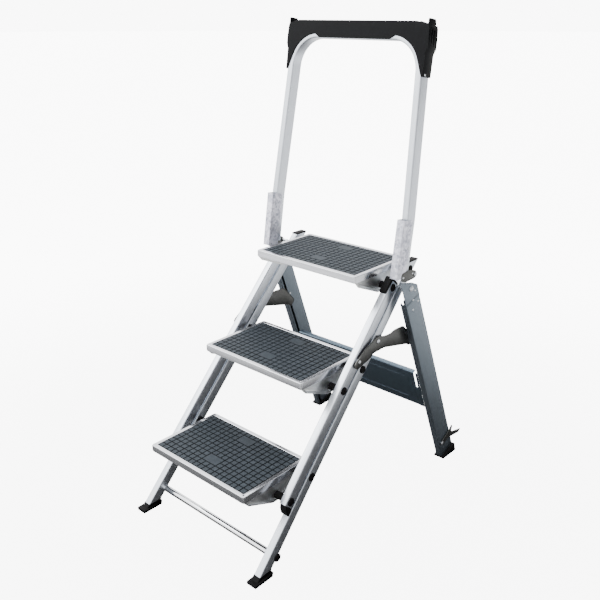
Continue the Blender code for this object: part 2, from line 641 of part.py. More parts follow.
def handrail_side(x_low, x_bend, radius, top):
    """Half of one edge of the bent tube, from the bottom of the right leg to the middle of the bar."""
    points = [(x_low, HAND_LOW), (x_low, HAND_STRAIGHT), (x_bend, HAND_BEND)]
    steps = 8
    for step in range(1, steps + 1):
        angle = math.pi / 2 * step / steps
        points.append((x_bend - radius * (1 - math.cos(angle)), top - radius * (1 - math.sin(angle))))
    return points


def make_handrail():
    """Upside-down U of rectangular tube."""
    half = HAND_WIDE / 2
    outer = handrail_side(HAND_X_LOW + half, HAND_X_BEND + half, HAND_TOP - HAND_BEND, HAND_TOP)
    inner = handrail_side(HAND_X_LOW - half, HAND_X_BEND - half, HAND_TOP - HAND_BEND - HAND_WIDE,
                          HAND_TOP - HAND_WIDE)
    outline = outer + [(-x, z) for x, z in reversed(outer)] + [(-x, z) for x, z in inner] + inner[::-1]
    mesh = slab("handrail", [outline], HAND_FRONT, HAND_FRONT + HAND_DEEP, "XZ")
    add_object("handrail", mesh, hand_frame, aluminium)


def make_bracket(side_name, side):
    """Channel that grips the foot of the handrail from the front."""
    wall = BRACKET_WALL
    reach = HAND_WIDE / 2 + GAP + wall
    front = HAND_FRONT - BRACKET_PROUD
    rear = HAND_FRONT + 0.022
    x = side * HAND_X_LOW
    outline = [(x - reach, rear), (x - reach, front), (x + reach, front), (x + reach, rear),
               (x + reach - wall, rear), (x + reach - wall, front + wall), (x - reach + wall, front + wall),
               (x - reach + wall, rear)]
    name = "bracket_" + side_name
    add_object(name, slab(name, [outline], *BRACKET, "XY"), hand_frame, aluminium)


def make_hinge_plate(side_name, side):
    """Steel plate from the bracket to the handrail's pivot, with its pivot pin."""
    outline = rounded([(-0.0640, 0.0160, 0.006), (-0.0650, -0.0060, 0.006), (-0.0400, -0.0130, 0.006),
                       (0.0040, -0.0110, 0.009), (0.0100, 0.0020, 0.007), (-0.0020, 0.0130, 0.009),
                       (-0.0300, 0.0190, 0.006)])
    name = "hinge_plate_" + side_name
    plate = add_object(name, slab(name, [outline], *span(side, *HINGE_SPAN), "YZ"), pivot_frame, zinc)
    low, high = span(side, HINGE_SPAN[0] - 0.01, HINGE_SPAN[1] + 0.01)
    hole = rod("hinge_hole_" + side_name, (0, 0), HAND_PIN_RADIUS + HOLE_GAP, low, high)
    shape_with(plate, hole, "DIFFERENCE")
    along, _ = in_rail(HAND_PIVOT)
    out = rail_out(along)
    sections = [(out - RAIL_WALL - 0.0010, out + 0.0005, HAND_PIN_RADIUS),
                (out + 0.0005, HINGE_SPAN[0] - GAP, 0.0050),
                (HINGE_SPAN[0] - GAP, HINGE_SPAN[1] + GAP, HAND_PIN_RADIUS),
                (HINGE_SPAN[1] + GAP, HINGE_SPAN[1] + 0.0022, 0.0062)]
    pin = add_object("hand_pin_" + side_name, turned("hand_pin_" + side_name, sections, side, 16), stool,
                     zinc)
    pin.location = (0, *HAND_PIVOT)


def make_tray():
    """Moulded tool tray over the top of the handrail, with a strap down each side."""
    front = HAND_FRONT - TRAY_PROUD
    rear = HAND_FRONT + HAND_DEEP + TRAY_PROUD
    half = [(TRAY_BAR, 0.6439), (0.2290, 0.6372), (0.2292, 0.6510), (0.2325, 0.6510), (0.2340, 0.6300),
            (0.2364, 0.5800), (STRAP_OUT, 0.5660), (STRAP_OUT, 0.5110), (0.2288, 0.5110)]
    radius = HAND_TOP - HAND_BEND + GAP
    x_bend = HAND_X_BEND + HAND_WIDE / 2
    arch = []
    steps = 8
    for step in range(steps + 1):
        angle = math.pi / 2 * step / steps
        arch.append((x_bend - radius * (1 - math.cos(angle)) + GAP,
                     HAND_TOP + GAP - radius * (1 - math.sin(angle))))
    half += [point for point in arch if point[1] > 0.5130]
    outline = half + [(-x, z) for x, z in reversed(half)]
    mesh = slab("tool_tray", [outline], front, rear, "XZ")
    tray = add_object("tool_tray", mesh, hand_frame, black_plastic)
    recess = block("tray_recess", (-TRAY_INSIDE, front + SHEET, TRAY_FLOOR),
                   (TRAY_INSIDE, rear - SHEET, 0.70))
    shape_with(tray, recess, "DIFFERENCE")
    centre = (HAND_X_BEND + HAND_WIDE / 2 - radius, HAND_BEND)
    edge = [(APRON_BAR, HAND_TOP - HAND_WIDE + 0.0008)]
    for step in range(steps + 1):
        angle = math.radians(86 - 64 * step / steps)
        edge.append((centre[0] + APRON_ARCH * math.cos(angle), centre[1] + APRON_ARCH * math.sin(angle)))
    edge += [(0.2261, 0.5150), (0.2300, 0.5150), (0.2300, 0.6250)]
    apron_outline = edge + [(-x, z) for x, z in reversed(edge)]
    for which, (near, far) in (("front", (front, HAND_FRONT - GAP)),
                               ("rear", (HAND_FRONT + HAND_DEEP + GAP, rear))):
        apron = slab(f"tray_apron_{which}", [apron_outline], near, far, "XZ")
        shape_with(tray, apron, "UNION")


for old in list(bpy.data.objects):
    bpy.data.objects.remove(old, do_unlink=True)
parts = bpy.data.collections.new("step_stool")
cutters = bpy.data.collections.new("cutters")
bpy.context.scene.collection.children.link(parts)
bpy.context.scene.collection.children.link(cutters)

aluminium = finish("satin_aluminium", (0.62, 0.65, 0.68), 0.35, 1.0)
leg_metal = finish("leg_aluminium", (0.30, 0.36, 0.40), 0.40, 1.0)
zinc = finish("zinc_steel", (0.25, 0.26, 0.26), 0.38, 1.0)
chrome = finish("chrome", (0.80, 0.80, 0.80), 0.08, 1.0)
rubber = finish("black_rubber", (0.020, 0.020, 0.022), 0.60, 0.0)
mat_rubber = finish("tread_rubber", (0.060, 0.072, 0.090), 0.65, 0.0)
black_plastic = finish("black_plastic", (0.018, 0.018, 0.020), 0.42, 0.0)

stool = frame("stool", (-MIDDLE_Y, 0))
rail_frame = frame("rail_frame", FIRST_PIVOT, SLOPE - math.pi / 2, stool)
front_frame = frame("front_frame", FIRST_PIVOT, SLOPE - math.pi / 2, stool)
tie_frame = frame("tie_frame", on_rail(TIE_ALONG, TIE_SQUARE), 0.0, stool)
tread_frames = {level: frame("pivot_" + level, (FIRST_PIVOT[0] + index * RUN, FIRST_PIVOT[1] + index * RISE),
                             0.0, stool) for index, level in enumerate(TREADS)}
brace_pivot = on_rail(BRACE_ALONG)
brace_frame = frame("brace_frame", brace_pivot, 0.0, stool)
hinge_frame = frame("hinge_frame", LEG_HINGE, 0.0, stool)
leg_frame = frame("leg_frame", (0, 0), LEG_LEAN, hinge_frame)
brace_slider = leg_point(brace_pivot[0] + SLIDER_AT[0] - LEG_HINGE[0],
                         brace_pivot[1] + SLIDER_AT[1] - LEG_HINGE[1])
slider_frame = frame("slider_frame", (brace_pivot[0] + SLIDER_AT[0], brace_pivot[1] + SLIDER_AT[1]), LEG_LEAN,
                     stool)
latch_frame = frame("latch_frame", (LATCH_AT[0] - LEG_HINGE[0], LATCH_AT[1] - LEG_HINGE[1]), 0.0, hinge_frame)
pivot_frame = frame("pivot_frame", HAND_PIVOT, 0.0, stool)
hand_frame = frame("hand_frame", (0, 0), -HAND_LEAN, pivot_frame)

for tread_index, tread_level in enumerate(TREADS):
    make_tread(tread_index, tread_level)
make_tie_bar()
make_cross_panel()
make_handrail()
make_tray()
for name_of_side, sign in SIDES:
    make_main_rail(name_of_side, sign)
    make_front_rail(name_of_side, sign)
    make_brace(name_of_side, sign)
    make_rear_leg(name_of_side, sign)
    make_slider(name_of_side, sign)
    make_bracket(name_of_side, sign)
    make_hinge_plate(name_of_side, sign)
make_latch()
bpy.context.view_layer.update()
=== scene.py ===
import json
import math
import bpy
import numpy as np
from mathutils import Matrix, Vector


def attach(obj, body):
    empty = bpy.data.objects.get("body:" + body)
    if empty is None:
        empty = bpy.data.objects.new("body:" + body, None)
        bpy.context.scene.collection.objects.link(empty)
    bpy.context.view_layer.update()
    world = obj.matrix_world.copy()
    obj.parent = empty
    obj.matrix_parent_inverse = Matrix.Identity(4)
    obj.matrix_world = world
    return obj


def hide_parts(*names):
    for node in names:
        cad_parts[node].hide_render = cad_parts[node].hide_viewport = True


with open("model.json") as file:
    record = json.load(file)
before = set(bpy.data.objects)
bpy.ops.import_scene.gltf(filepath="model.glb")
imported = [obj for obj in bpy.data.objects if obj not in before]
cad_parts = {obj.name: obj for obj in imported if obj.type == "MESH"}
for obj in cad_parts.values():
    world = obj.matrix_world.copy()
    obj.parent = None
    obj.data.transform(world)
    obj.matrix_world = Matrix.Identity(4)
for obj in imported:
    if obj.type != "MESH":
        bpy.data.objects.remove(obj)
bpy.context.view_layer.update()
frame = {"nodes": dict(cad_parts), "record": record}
nodes = frame["nodes"]
bodyOf = {node: body for body, members in frame["record"]["behaviour"]["bodies"].items() for node in members}

# Where things are, in metres.
layout = {
    "middle": 0.4563,              # from the front toe to the origin
    "rise": 0.230, "run": 0.211,   # one tread to the next
    "firstPivot": (0.2214, 0.2116),
    "legHinge": (0.6040, 0.6320), "legLean": 21.5,
    "handPivot": (0.6245, 0.6680), "handLean": -8.3,
    "railOut": 0.2195, "railFlare": 0.0155, "railTop": 0.62425,
    "legOut": 0.2525, "legSplay": 0.0242,
    "frontLink": (-0.0790, -0.0375),   # from a main pivot to the front one, along the rail and square to it
    "tieAlong": -0.2181, "tieSquare": 0.0163,
    "boltAlong": 0.5765, "handPinAlong": 0.605,
}
sides = (("left", -1), ("right", 1))
pivots = (("main", (0.0, 0.0)), ("front", layout["frontLink"]))
slope = math.atan2(layout["rise"], layout["run"])


# (a, b) on a plane turned by lean about X and set at (y, z), as world y and z.
def turnedPlane(at, lean):
    c, s = math.cos(lean), math.sin(lean)

    def toWorld(a, b):
        return at[0] - layout["middle"] + a * c - b * s, at[1] + a * s + b * c
    return toWorld


# Square to a rail and along it: y = y0 + along cos + square sin, z = z0 + along sin - square cos.
def railPlane(square, along):
    y0, z0 = layout["firstPivot"]
    c, s = math.cos(slope), math.sin(slope)
    return y0 - layout["middle"] + along * c + square * s, z0 + along * s - square * c


legPlane = turnedPlane(layout["legHinge"], math.radians(layout["legLean"]))
handPlane = turnedPlane(layout["handPivot"], math.radians(layout["handLean"]))


def railOut(along):
    return layout["railOut"] + layout["railFlare"] * (layout["railTop"] - along)


# Shader groups.

# An empty shader group with named sockets; inputs is {name: (kind, value)}.
def newGroup(name, inputs, outputs):
    group = bpy.data.node_groups.new(name, "ShaderNodeTree")
    for label, (kind, value) in inputs.items():
        socket = group.interface.new_socket(label, in_out="INPUT", socket_type="NodeSocket" + kind)
        socket.default_value = value
    for label, kind in outputs.items():
        group.interface.new_socket(label, in_out="OUTPUT", socket_type="NodeSocket" + kind)
    return group, group.nodes.new("NodeGroupInput"), group.nodes.new("NodeGroupOutput")


# A node of the tree; settings set its properties, links feed its sockets with values or other sockets.
def addNode(tree, kind, links=None, **settings):
    node = tree.nodes.new("ShaderNode" + kind)
    for label, value in settings.items():
        setattr(node, label, value)
    for label, value in (links or {}).items():
        if isinstance(value, bpy.types.NodeSocket):
            tree.links.new(value, node.inputs[label])
        else:
            node.inputs[label].default_value = value
    return node


# Long fine streaks: noise read on coordinates squeezed by Squeeze, so it stretches along one direction.
def brushedGroup():
    group, enter, leave = newGroup("brushedLines", {
        "Turn": ("Vector", (0, 0, 0)), "Squeeze": ("Vector", (1, 1, 0.02)), "Scale": ("Float", 900.0),
        "Contrast": ("Float", 0.5)}, {"Streak": "Float", "Cloud": "Float"})
    coords = addNode(group, "TexCoord")
    turned = addNode(group, "VectorRotate", {"Vector": coords.outputs["Object"],
                                             "Rotation": enter.outputs["Turn"]}, rotation_type="EULER_XYZ")
    squeezed = addNode(group, "VectorMath", {0: turned.outputs[0], 1: enter.outputs["Squeeze"]},
                       operation="MULTIPLY")
    streak = addNode(group, "TexNoise", {"Vector": squeezed.outputs[0], "Scale": enter.outputs["Scale"],
                                         "Detail": 4.0, "Roughness": 0.65})
    cloud = addNode(group, "TexNoise", {"Vector": coords.outputs["Object"], "Scale": 9.0, "Detail": 5.0,
                                        "Roughness": 0.6})
    centred = addNode(group, "Math", {0: streak.outputs["Fac"], 1: 0.5}, operation="SUBTRACT")
    gained = addNode(group, "Math", {0: centred.outputs[0], 1: enter.outputs["Contrast"], 2: 0.5},
                     operation="MULTIPLY_ADD", use_clamp=True)
    group.links.new(gained.outputs[0], leave.inputs["Streak"])
    group.links.new(cloud.outputs["Fac"], leave.inputs["Cloud"])
    return group


# Dust in broad patches: noise that is cut off at Amount.
def grimeGroup():
    group, enter, leave = newGroup("handlingMarks", {
        "Amount": ("Float", 0.3), "Scale": ("Float", 30.0)}, {"Mask": "Float"})
    coords = addNode(group, "TexCoord")
    broad = addNode(group, "TexNoise", {"Vector": coords.outputs["Object"], "Scale": enter.outputs["Scale"],
                                        "Detail": 6.0, "Roughness": 0.7})
    lower = addNode(group, "Math", {0: 0.78, 1: enter.outputs["Amount"]}, operation="SUBTRACT")
    mask = addNode(group, "MapRange", {"Value": broad.outputs["Fac"], "From Min": lower.outputs[0],
                                       "From Max": 0.85})
    group.links.new(mask.outputs[0], leave.inputs["Mask"])
    return group


# Moulded grain: cells about one over Scale metres wide with a softer noise over them, as a height.
def grainGroup():
    group, enter, leave = newGroup("mouldedGrain", {"Scale": ("Float", 900.0)}, {"Height": "Float",
                                                                                "Shade": "Float"})
    coords = addNode(group, "TexCoord")
    cells = addNode(group, "TexVoronoi", {"Vector": coords.outputs["Object"], "Scale": enter.outputs["Scale"]})
    soft = addNode(group, "TexNoise", {"Vector": coords.outputs["Object"], "Scale": 60.0, "Detail": 4.0})
    height = addNode(group, "Math", {0: cells.outputs["Distance"], 1: 0.7, 2: soft.outputs["Fac"]},
                     operation="MULTIPLY_ADD")
    group.links.new(height.outputs[0], leave.inputs["Height"])
    group.links.new(soft.outputs["Fac"], leave.inputs["Shade"])
    return group


# Crystals of a zinc coat: a random shade in each Voronoi cell, with coordinates shifted by noise.
def spangleGroup():
    group, enter, leave = newGroup("zincSpangle", {"Scale": ("Float", 160.0)}, {"Shade": "Float",
                                                                               "Height": "Float"})
    coords = addNode(group, "TexCoord")
    bend = addNode(group, "TexNoise", {"Vector": coords.outputs["Object"], "Scale": 55.0, "Detail": 3.0})
    shifted = addNode(group, "VectorMath", {0: bend.outputs["Color"], 1: (0.012, 0.012, 0.012),
                                            2: coords.outputs["Object"]}, operation="MULTIPLY_ADD")
    cells = addNode(group, "TexVoronoi", {"Vector": shifted.outputs[0], "Scale": enter.outputs["Scale"]})
    grey = addNode(group, "SeparateColor", {"Color": cells.outputs["Color"]})
    mixed = addNode(group, "Math", {0: grey.outputs["Red"], 1: 0.5, 2: bend.outputs["Fac"]},
                    operation="MULTIPLY_ADD")
    shade = addNode(group, "MapRange", {"Value": mixed.outputs[0], "From Min": 0.30, "From Max": 1.0})
    group.links.new(shade.outputs[0], leave.inputs["Shade"])
    group.links.new(cells.outputs["Distance"], leave.inputs["Height"])
    return group


groups = {"brushed": brushedGroup(), "marks": grimeGroup(), "grain": grainGroup(), "spangle": spangleGroup()}
print("shader groups made")


# Finishes.
def startMaterial(name, **sockets):
    material = bpy.data.materials.new(name)
    material.use_nodes = True
    tree = material.node_tree
    shader = tree.nodes["Principled BSDF"]
    for label, value in sockets.items():
        shader.inputs[label.replace("_", " ")].default_value = value
    return material, tree, shader


def useGroup(tree, group, **values):
    node = tree.nodes.new("ShaderNodeGroup")
    node.node_tree = groups[group]
    for label, value in values.items():
        node.inputs[label].default_value = value
    return node


def blendColours(tree, factor, first, second):
    mix = addNode(tree, "Mix", data_type="RGBA")
    if isinstance(factor, bpy.types.NodeSocket):
        tree.links.new(factor, mix.inputs[0])
    for socket, value in ((mix.inputs[6], first), (mix.inputs[7], second)):
        if isinstance(value, bpy.types.NodeSocket):
            tree.links.new(value, socket)
        else:
            socket.default_value = (*value, 1)
    return mix.outputs[2]


# A mask from 0 to 1 moved into low to high.
def spread(tree, value, low, high):
    return addNode(tree, "MapRange", {"Value": value, "To Min": low, "To Max": high}).outputs[0]


# Feeds a material's colour, roughness and the height of its fine relief.
def feed(tree, shader, colour, roughness, height, strength, distance):
    bump = addNode(tree, "Bump", {"Height": height, "Strength": strength, "Distance": distance})
    for label, value in (("Base Color", colour), ("Roughness", roughness), ("Normal", bump.outputs[0])):
        tree.links.new(value, shader.inputs[label])


# Metal with streaks along one direction, cloudy tone and a few dull marks.
def brushedMetal(name, look):
    material, tree, shader = startMaterial(name, Metallic=look["metallic"])
    lines = useGroup(tree, "brushed", Turn=look["turn"], Squeeze=look["squeeze"], Scale=look["scale"],
                     Contrast=look["contrast"])
    marks = useGroup(tree, "marks", Amount=look["marks"], Scale=26.0)
    tone = blendColours(tree, lines.outputs["Streak"], look["dark"], look["light"])
    worn = blendColours(tree, marks.outputs["Mask"], tone, look["mark"])
    roughness = spread(tree, lines.outputs["Cloud"], look["smooth"], look["rough"])
    feed(tree, shader, worn, roughness, lines.outputs["Streak"], look["bump"], 0.0002)
    return material


alongRails = {"turn": (math.pi / 2 - slope, 0, 0), "squeeze": (1.0, 1.0, 0.015)}
alongX = {"turn": (0, 0, 0), "squeeze": (0.015, 1.0, 1.0)}
alongLegs = {"turn": (-math.radians(layout["legLean"]), 0, 0), "squeeze": (1.0, 1.0, 0.015)}
upHandrail = {"turn": (-math.radians(layout["handLean"]), 0, 0), "squeeze": (1.0, 1.0, 0.015)}
satin = {"metallic": 0.95, "scale": 700.0, "contrast": 1.1, "marks": 0.12, "dark": (0.42, 0.46, 0.52),
         "light": (0.74, 0.77, 0.81), "mark": (0.36, 0.38, 0.42), "smooth": 0.22, "rough": 0.38, "bump": 0.12}
legLook = {**satin, "dark": (0.15, 0.18, 0.21), "light": (0.22, 0.26, 0.30), "mark": (0.13, 0.15, 0.17),
           "smooth": 0.36, "rough": 0.52}
zincLook = {**satin, "dark": (0.06, 0.063, 0.062), "light": (0.13, 0.13, 0.125), "mark": (0.05, 0.05, 0.05),
            "smooth": 0.30, "rough": 0.5, "contrast": 0.5}
cheekLook = {**satin, "dark": (0.50, 0.51, 0.51), "light": (0.74, 0.75, 0.75), "smooth": 0.22, "rough": 0.40}


# Galvanised steel: spangled crystals, light, with dull patches.
def coatedZinc():
    material, tree, shader = startMaterial("galvanisedSteel", Metallic=0.8)
    spangle = useGroup(tree, "spangle", Scale=150.0)
    marks = useGroup(tree, "marks", Amount=0.22, Scale=60.0)
    tone = blendColours(tree, spangle.outputs["Shade"], (0.28, 0.30, 0.37), (0.72, 0.72, 0.80))
    worn = blendColours(tree, marks.outputs["Mask"], tone, (0.42, 0.40, 0.44))
    roughness = spread(tree, spangle.outputs["Shade"], 0.55, 0.32)
    feed(tree, shader, worn, roughness, spangle.outputs["Height"], 0.12, 0.0003)
    return material


# Bright plating with faint wipe marks.
def chromePlate():
    material, tree, shader = startMaterial("chromePlate", Metallic=1.0)
    lines = useGroup(tree, "brushed", Turn=(0, 0, 0), Squeeze=(0.02, 1.0, 1.0), Scale=300.0, Contrast=0.4)
    tone = blendColours(tree, lines.outputs["Streak"], (0.66, 0.68, 0.71), (0.84, 0.85, 0.87))
    roughness = spread(tree, lines.outputs["Cloud"], 0.05, 0.18)
    feed(tree, shader, tone, roughness, lines.outputs["Streak"], 0.03, 0.0001)
    return material


# Black rubber or plastic: grain, uneven tone, pale dust in patches, and painted shade that darkens it where a
# piece's raised is 0, in the mat's grooves.
def mouldedBlack(name, look):
    material, tree, shader = startMaterial(name, Metallic=0.0, Specular_IOR_Level=look["specular"])
    grain = useGroup(tree, "grain", Scale=look["scale"])
    marks = useGroup(tree, "marks", Amount=0.2, Scale=40.0)
    tone = blendColours(tree, grain.outputs["Shade"], look["dark"], look["light"])
    dust = tuple(look["dust"] * value for value in look["light"])
    dustAndGrooveShade = blendColours(tree, spread(tree, marks.outputs["Mask"], 0.0, 0.35), tone, dust)
    if "groove" in look:
        # painted shade: the groove colour darkens the recessed grooves and the mat's border where raised falls
        # to 0
        raised = addNode(tree, "Attribute", attribute_name="raised")
        dustAndGrooveShade = blendColours(tree, raised.outputs["Fac"], look["groove"], dustAndGrooveShade)
    roughness = spread(tree, grain.outputs["Shade"], look["smooth"], look["rough"])
    feed(tree, shader, dustAndGrooveShade, roughness, grain.outputs["Height"], look["bump"], 0.0003)
    return material


rubberLook = {"dark": (0.003, 0.003, 0.0033), "light": (0.007, 0.007, 0.0075), "dust": 3.2,
              "specular": 0.06, "smooth": 0.45, "rough": 0.70, "scale": 1100.0, "bump": 0.2}
plasticLook = {**rubberLook, "dark": (0.0015, 0.0015, 0.002), "light": (0.005, 0.0055, 0.0065),
               "smooth": 0.34, "rough": 0.50, "scale": 900.0, "bump": 0.1}
# the mat's groove colour is painted shade for its recessed grooves
matLook = {**rubberLook, "dark": (0.022, 0.027, 0.033), "light": (0.042, 0.051, 0.061),
           "groove": (0.0012, 0.0015, 0.0018), "rough": 0.65, "scale": 1500.0, "bump": 0.25}
finishes = {
    "rail": brushedMetal("satinRail", {**satin, **alongRails}),
    "pan": brushedMetal("satinPan", {**satin, **alongX, "dark": (0.34, 0.35, 0.38), "light": (0.72, 0.73, 0.76),
                                     "contrast": 1.6, "smooth": 0.13, "rough": 0.23}),
    "cheek": brushedMetal("pressedCheek", {**cheekLook, **alongX}),
    "handrail": brushedMetal("satinHandrail", {**satin, **upHandrail}),
    "leg": brushedMetal("legAluminium", {**legLook, **alongLegs}),
    "panel": brushedMetal("panelAluminium", {**legLook, **alongX, "dark": (0.09, 0.12, 0.155),
                                             "light": (0.13, 0.17, 0.21)}),
    "zinc": brushedMetal("darkZinc", {**zincLook, **alongX}),
    "bright": brushedMetal("brightSteel", {**satin, **alongX, "dark": (0.62, 0.64, 0.66)}),
    "coated": coatedZinc(),
    "chrome": chromePlate(),
    "rubber": mouldedBlack("blackRubber", rubberLook),
    "plastic": mouldedBlack("blackPlastic", plasticLook),
    "mat": mouldedBlack("treadRubber", matLook),
}
for sideName, side in sides:   # the sliders are the only CAD pieces that stay visible
    for slot in nodes["slider_" + sideName].material_slots:
        slot.material = finishes["rubber"]
print("finishes made")

# Surfaces.

# Sum of corner determinants over the fans of all faces, a sixth of it.
def signedVolume(points, faces):
    total = 0.0
    for size in {len(face) for face in faces}:
        ring = points[np.array([face for face in faces if len(face) == size])]
        for k in range(1, size - 1):
            total += np.einsum("ij,ij->", ring[:, 0], np.cross(ring[:, k], ring[:, k + 1]))
    return total / 6


# Quads between neighbouring rings of one grid (n, m, 3), closed round each ring, with flat ends or a loop.
def skin(rings, closed=False):
    n, m = rings.shape[:2]
    rows = np.arange(n if closed else n - 1)[:, None]
    cols = np.arange(m)[None]
    near = rows * m + cols
    far = (rows + 1) % n * m + cols
    quads = np.stack([near, rows * m + (cols + 1) % m, (rows + 1) % n * m + (cols + 1) % m, far], axis=-1)
    faces = quads.reshape(-1, 4).tolist()
    if not closed:
        faces += [list(range(m))[::-1], list(range((n - 1) * m, n * m))]
    points = rings.reshape(-1, 3)
    if signedVolume(points, faces) < 0:
        faces = [face[::-1] for face in faces]
    return points, faces


# One object from closed shells, with smooth faces up to the sharp angle.
def makePiece(name, shells, finish, standsFor=(), rides=None, sharp=35, bevel=0.0):
    points = []
    faces = []
    start = 0
    for shellPoints, shellFaces in shells:
        points.append(shellPoints)
        faces += [[index + start for index in face] for face in shellFaces]
        start += len(shellPoints)
    mesh = bpy.data.meshes.new(name)
    mesh.from_pydata(np.concatenate(points).tolist(), [], faces)
    mesh.materials.append(finishes[finish])
    mesh.shade_smooth()
    mesh.set_sharp_from_angle(angle=math.radians(sharp))
    piece = bpy.data.objects.new(name, mesh)
    bpy.context.scene.collection.objects.link(piece)
    if bevel:
        rounding = piece.modifiers.new("edges", "BEVEL")
        rounding.width = bevel
        rounding.segments = 2
        rounding.limit_method = "ANGLE"
        rounding.angle_limit = math.radians(40)
        rounding.harden_normals = True
    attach(piece, rides or bodyOf[standsFor[0]])
    if standsFor:
        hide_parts(*standsFor)
    return piece


# Corner arcs of one radius, joined: centre plus radius times cos and sin, a quarter turn per corner.
def roundRect(halfU, halfV, radius, steps=6):
    turns = np.linspace(0, np.pi / 2, steps + 1)
    corners = []
    for k, (su, sv) in enumerate(((1, 1), (-1, 1), (-1, -1), (1, -1))):
        angle = turns + k * np.pi / 2
        corners.append(np.stack([su * (halfU - radius) + radius * np.cos(angle),
                                 sv * (halfV - radius) + radius * np.sin(angle)], axis=-1))
    return np.concatenate(corners)


# Outline through (u, v, radius) corners, each eased by a quadratic curve that starts radius away.
def softCorners(corners, steps=5):
    where = np.array([corner[:2] for corner in corners], float)
    radius = np.array([corner[2] for corner in corners], float)[:, None]
    before = np.roll(where, 1, axis=0) - where
    after = np.roll(where, -1, axis=0) - where
    reachB = np.minimum(radius, 0.45 * np.linalg.norm(before, axis=1, keepdims=True))
    reachA = np.minimum(radius, 0.45 * np.linalg.norm(after, axis=1, keepdims=True))
    start = where + before / np.linalg.norm(before, axis=1, keepdims=True) * reachB
    end = where + after / np.linalg.norm(after, axis=1, keepdims=True) * reachA
    t = np.linspace(0, 1, steps)[None, :, None]
    curve = (1 - t) ** 2 * start[:, None] + 2 * t * (1 - t) * where[:, None] + t ** 2 * end[:, None]
    return curve.reshape(-1, 2)


# Mitred inward direction at each point of a closed outline.
def inwardOf(outline):
    step = np.roll(outline, -1, axis=0) - outline
    area = np.sum(outline[:, 0] * np.roll(outline[:, 1], -1) - outline[:, 1] * np.roll(outline[:, 0], -1))
    step /= np.maximum(np.linalg.norm(step, axis=1, keepdims=True), 1e-9)
    normal = np.stack([-step[:, 1], step[:, 0]], axis=-1) * np.sign(area)
    both = normal + np.roll(normal, 1, axis=0)
    return both / np.maximum(np.sum(both * both, axis=1, keepdims=True) / 2, 0.5)


# A thick sheet: each row of one face's grid, then the same row of the other face backwards.
def joinFaces(first, second):
    return skin(np.concatenate([np.stack(first, axis=-1), np.stack(second, axis=-1)[:, ::-1]], axis=1))


# A plate: the outline, drawn in by edge (1 - sin t) at depth edge (1 - cos t) from either face.
def sheet(outline, low, high, toWorld, edge=0.0004):
    turns = np.linspace(0, np.pi / 2, 3)
    inset = edge * (1 - np.sin(turns))
    depth = edge * (1 - np.cos(turns))
    levels = np.concatenate([low + depth, high - depth[::-1]])
    insets = np.concatenate([inset, inset[::-1]])
    keep = np.linalg.norm(outline - np.roll(outline, 1, axis=0), axis=1) > 1e-6
    outline = outline[keep]
    uv = outline[None] + insets[:, None, None] * inwardOf(outline)[None]
    return skin(np.stack(toWorld(uv[..., 0], uv[..., 1], levels[:, None] + 0 * uv[..., 0]), axis=-1))


# Outlines in a side plane, thickness along x away from the middle; tilt leans the piece outwards.
def sideways(plane, side=1, tilt=None):
    def toWorld(u, v, t):
        y, z = plane(u, v)
        x = t if tilt is None else t + tilt(v)
        return side * x, y, z
    return toWorld


# A profile of (x, r) turned about X through (y, z): x, y + r cos a, z + r sin a.
def turning(profile, at, side=1, count=28):
    profile = np.array(profile, float)
    angle = np.linspace(0, 2 * np.pi, count, endpoint=False)
    x = side * profile[:, :1] + 0 * angle
    y = at[0] + profile[:, 1:] * np.cos(angle)
    z = at[1] + profile[:, 1:] * np.sin(angle)
    return skin(np.stack([x, y, z], axis=-1))


# Profile of stacked discs (start, end, radius), each with its rims cut back by edge.
def stepped(sections, edge=0.0004):
    rows = []
    for start, end, radius in sections:
        rows += [(start, radius - edge), (start + edge, radius), (end - edge, radius), (end, radius - edge)]
    return rows


# Head of a rivet: x = base + rise sin t, r = radius cos t.
def dome(base, radius, rise, steps=6):
    t = np.linspace(0, np.pi / 2 * 0.93, steps)
    return [(base - 0.0006, radius)] + list(zip(base + rise * np.sin(t), radius * np.cos(t)))


# The dome turned about X, standing on the plane x.
def rivetHead(x, at, radius, rise, side):
    return turning(dome(x, radius, rise), at, side, 20)


# Treads.
tread = {"half": 0.181, "front": -0.1979, "rear": 0.0356, "top": 0.0181, "fascia": -0.0015, "rim": 0.0125,
         "sheet": 0.003, "plate": 0.0064, "corner": 0.007, "edge": 0.0016, "ribs": 3, "ribDeep": 0.0045}
mat = {"columns": 19, "rows": 12, "groove": 0.0012, "depth": 0.0013, "slope": 0.0006, "corner": 0.005,
       "pads": ((8, 11, 2, 4), (8, 11, 9, 11))}


# Rim and skirt: rounded rectangles at inset d and height z, one for each point of the rim's section.
def treadFrame(at):
    edge = tread["edge"]
    top = tread["top"]
    turns = np.linspace(0, np.pi / 2, 5)
    outer = [(edge * (1 - math.sin(t)), top - edge * (1 - math.cos(t))) for t in turns[::-1]]
    lip = tread["rim"] - 0.0008
    section = [(tread["sheet"], tread["fascia"]), (0.0008, tread["fascia"]), (0.0, tread["fascia"] + 0.0008)]
    section += outer
    under = top - tread["plate"]
    section += [(lip - 0.0006, top), (lip, top - 0.0006), (lip, under), (tread["sheet"] + 0.002, under),
                (tread["sheet"], under - 0.002)]
    halfY = (tread["rear"] - tread["front"]) / 2
    middle = (tread["rear"] + tread["front"]) / 2
    rings = []
    for inset, height in section:
        ring = roundRect(tread["half"] - inset, halfY - inset, max(tread["corner"] - inset, 0.003), 5)
        y = ring[:, 1] + at[0] + middle
        rings.append(np.column_stack([ring[:, 0], y, np.full(len(ring), at[1] + height)]))
    return skin(np.array(rings), closed=True)


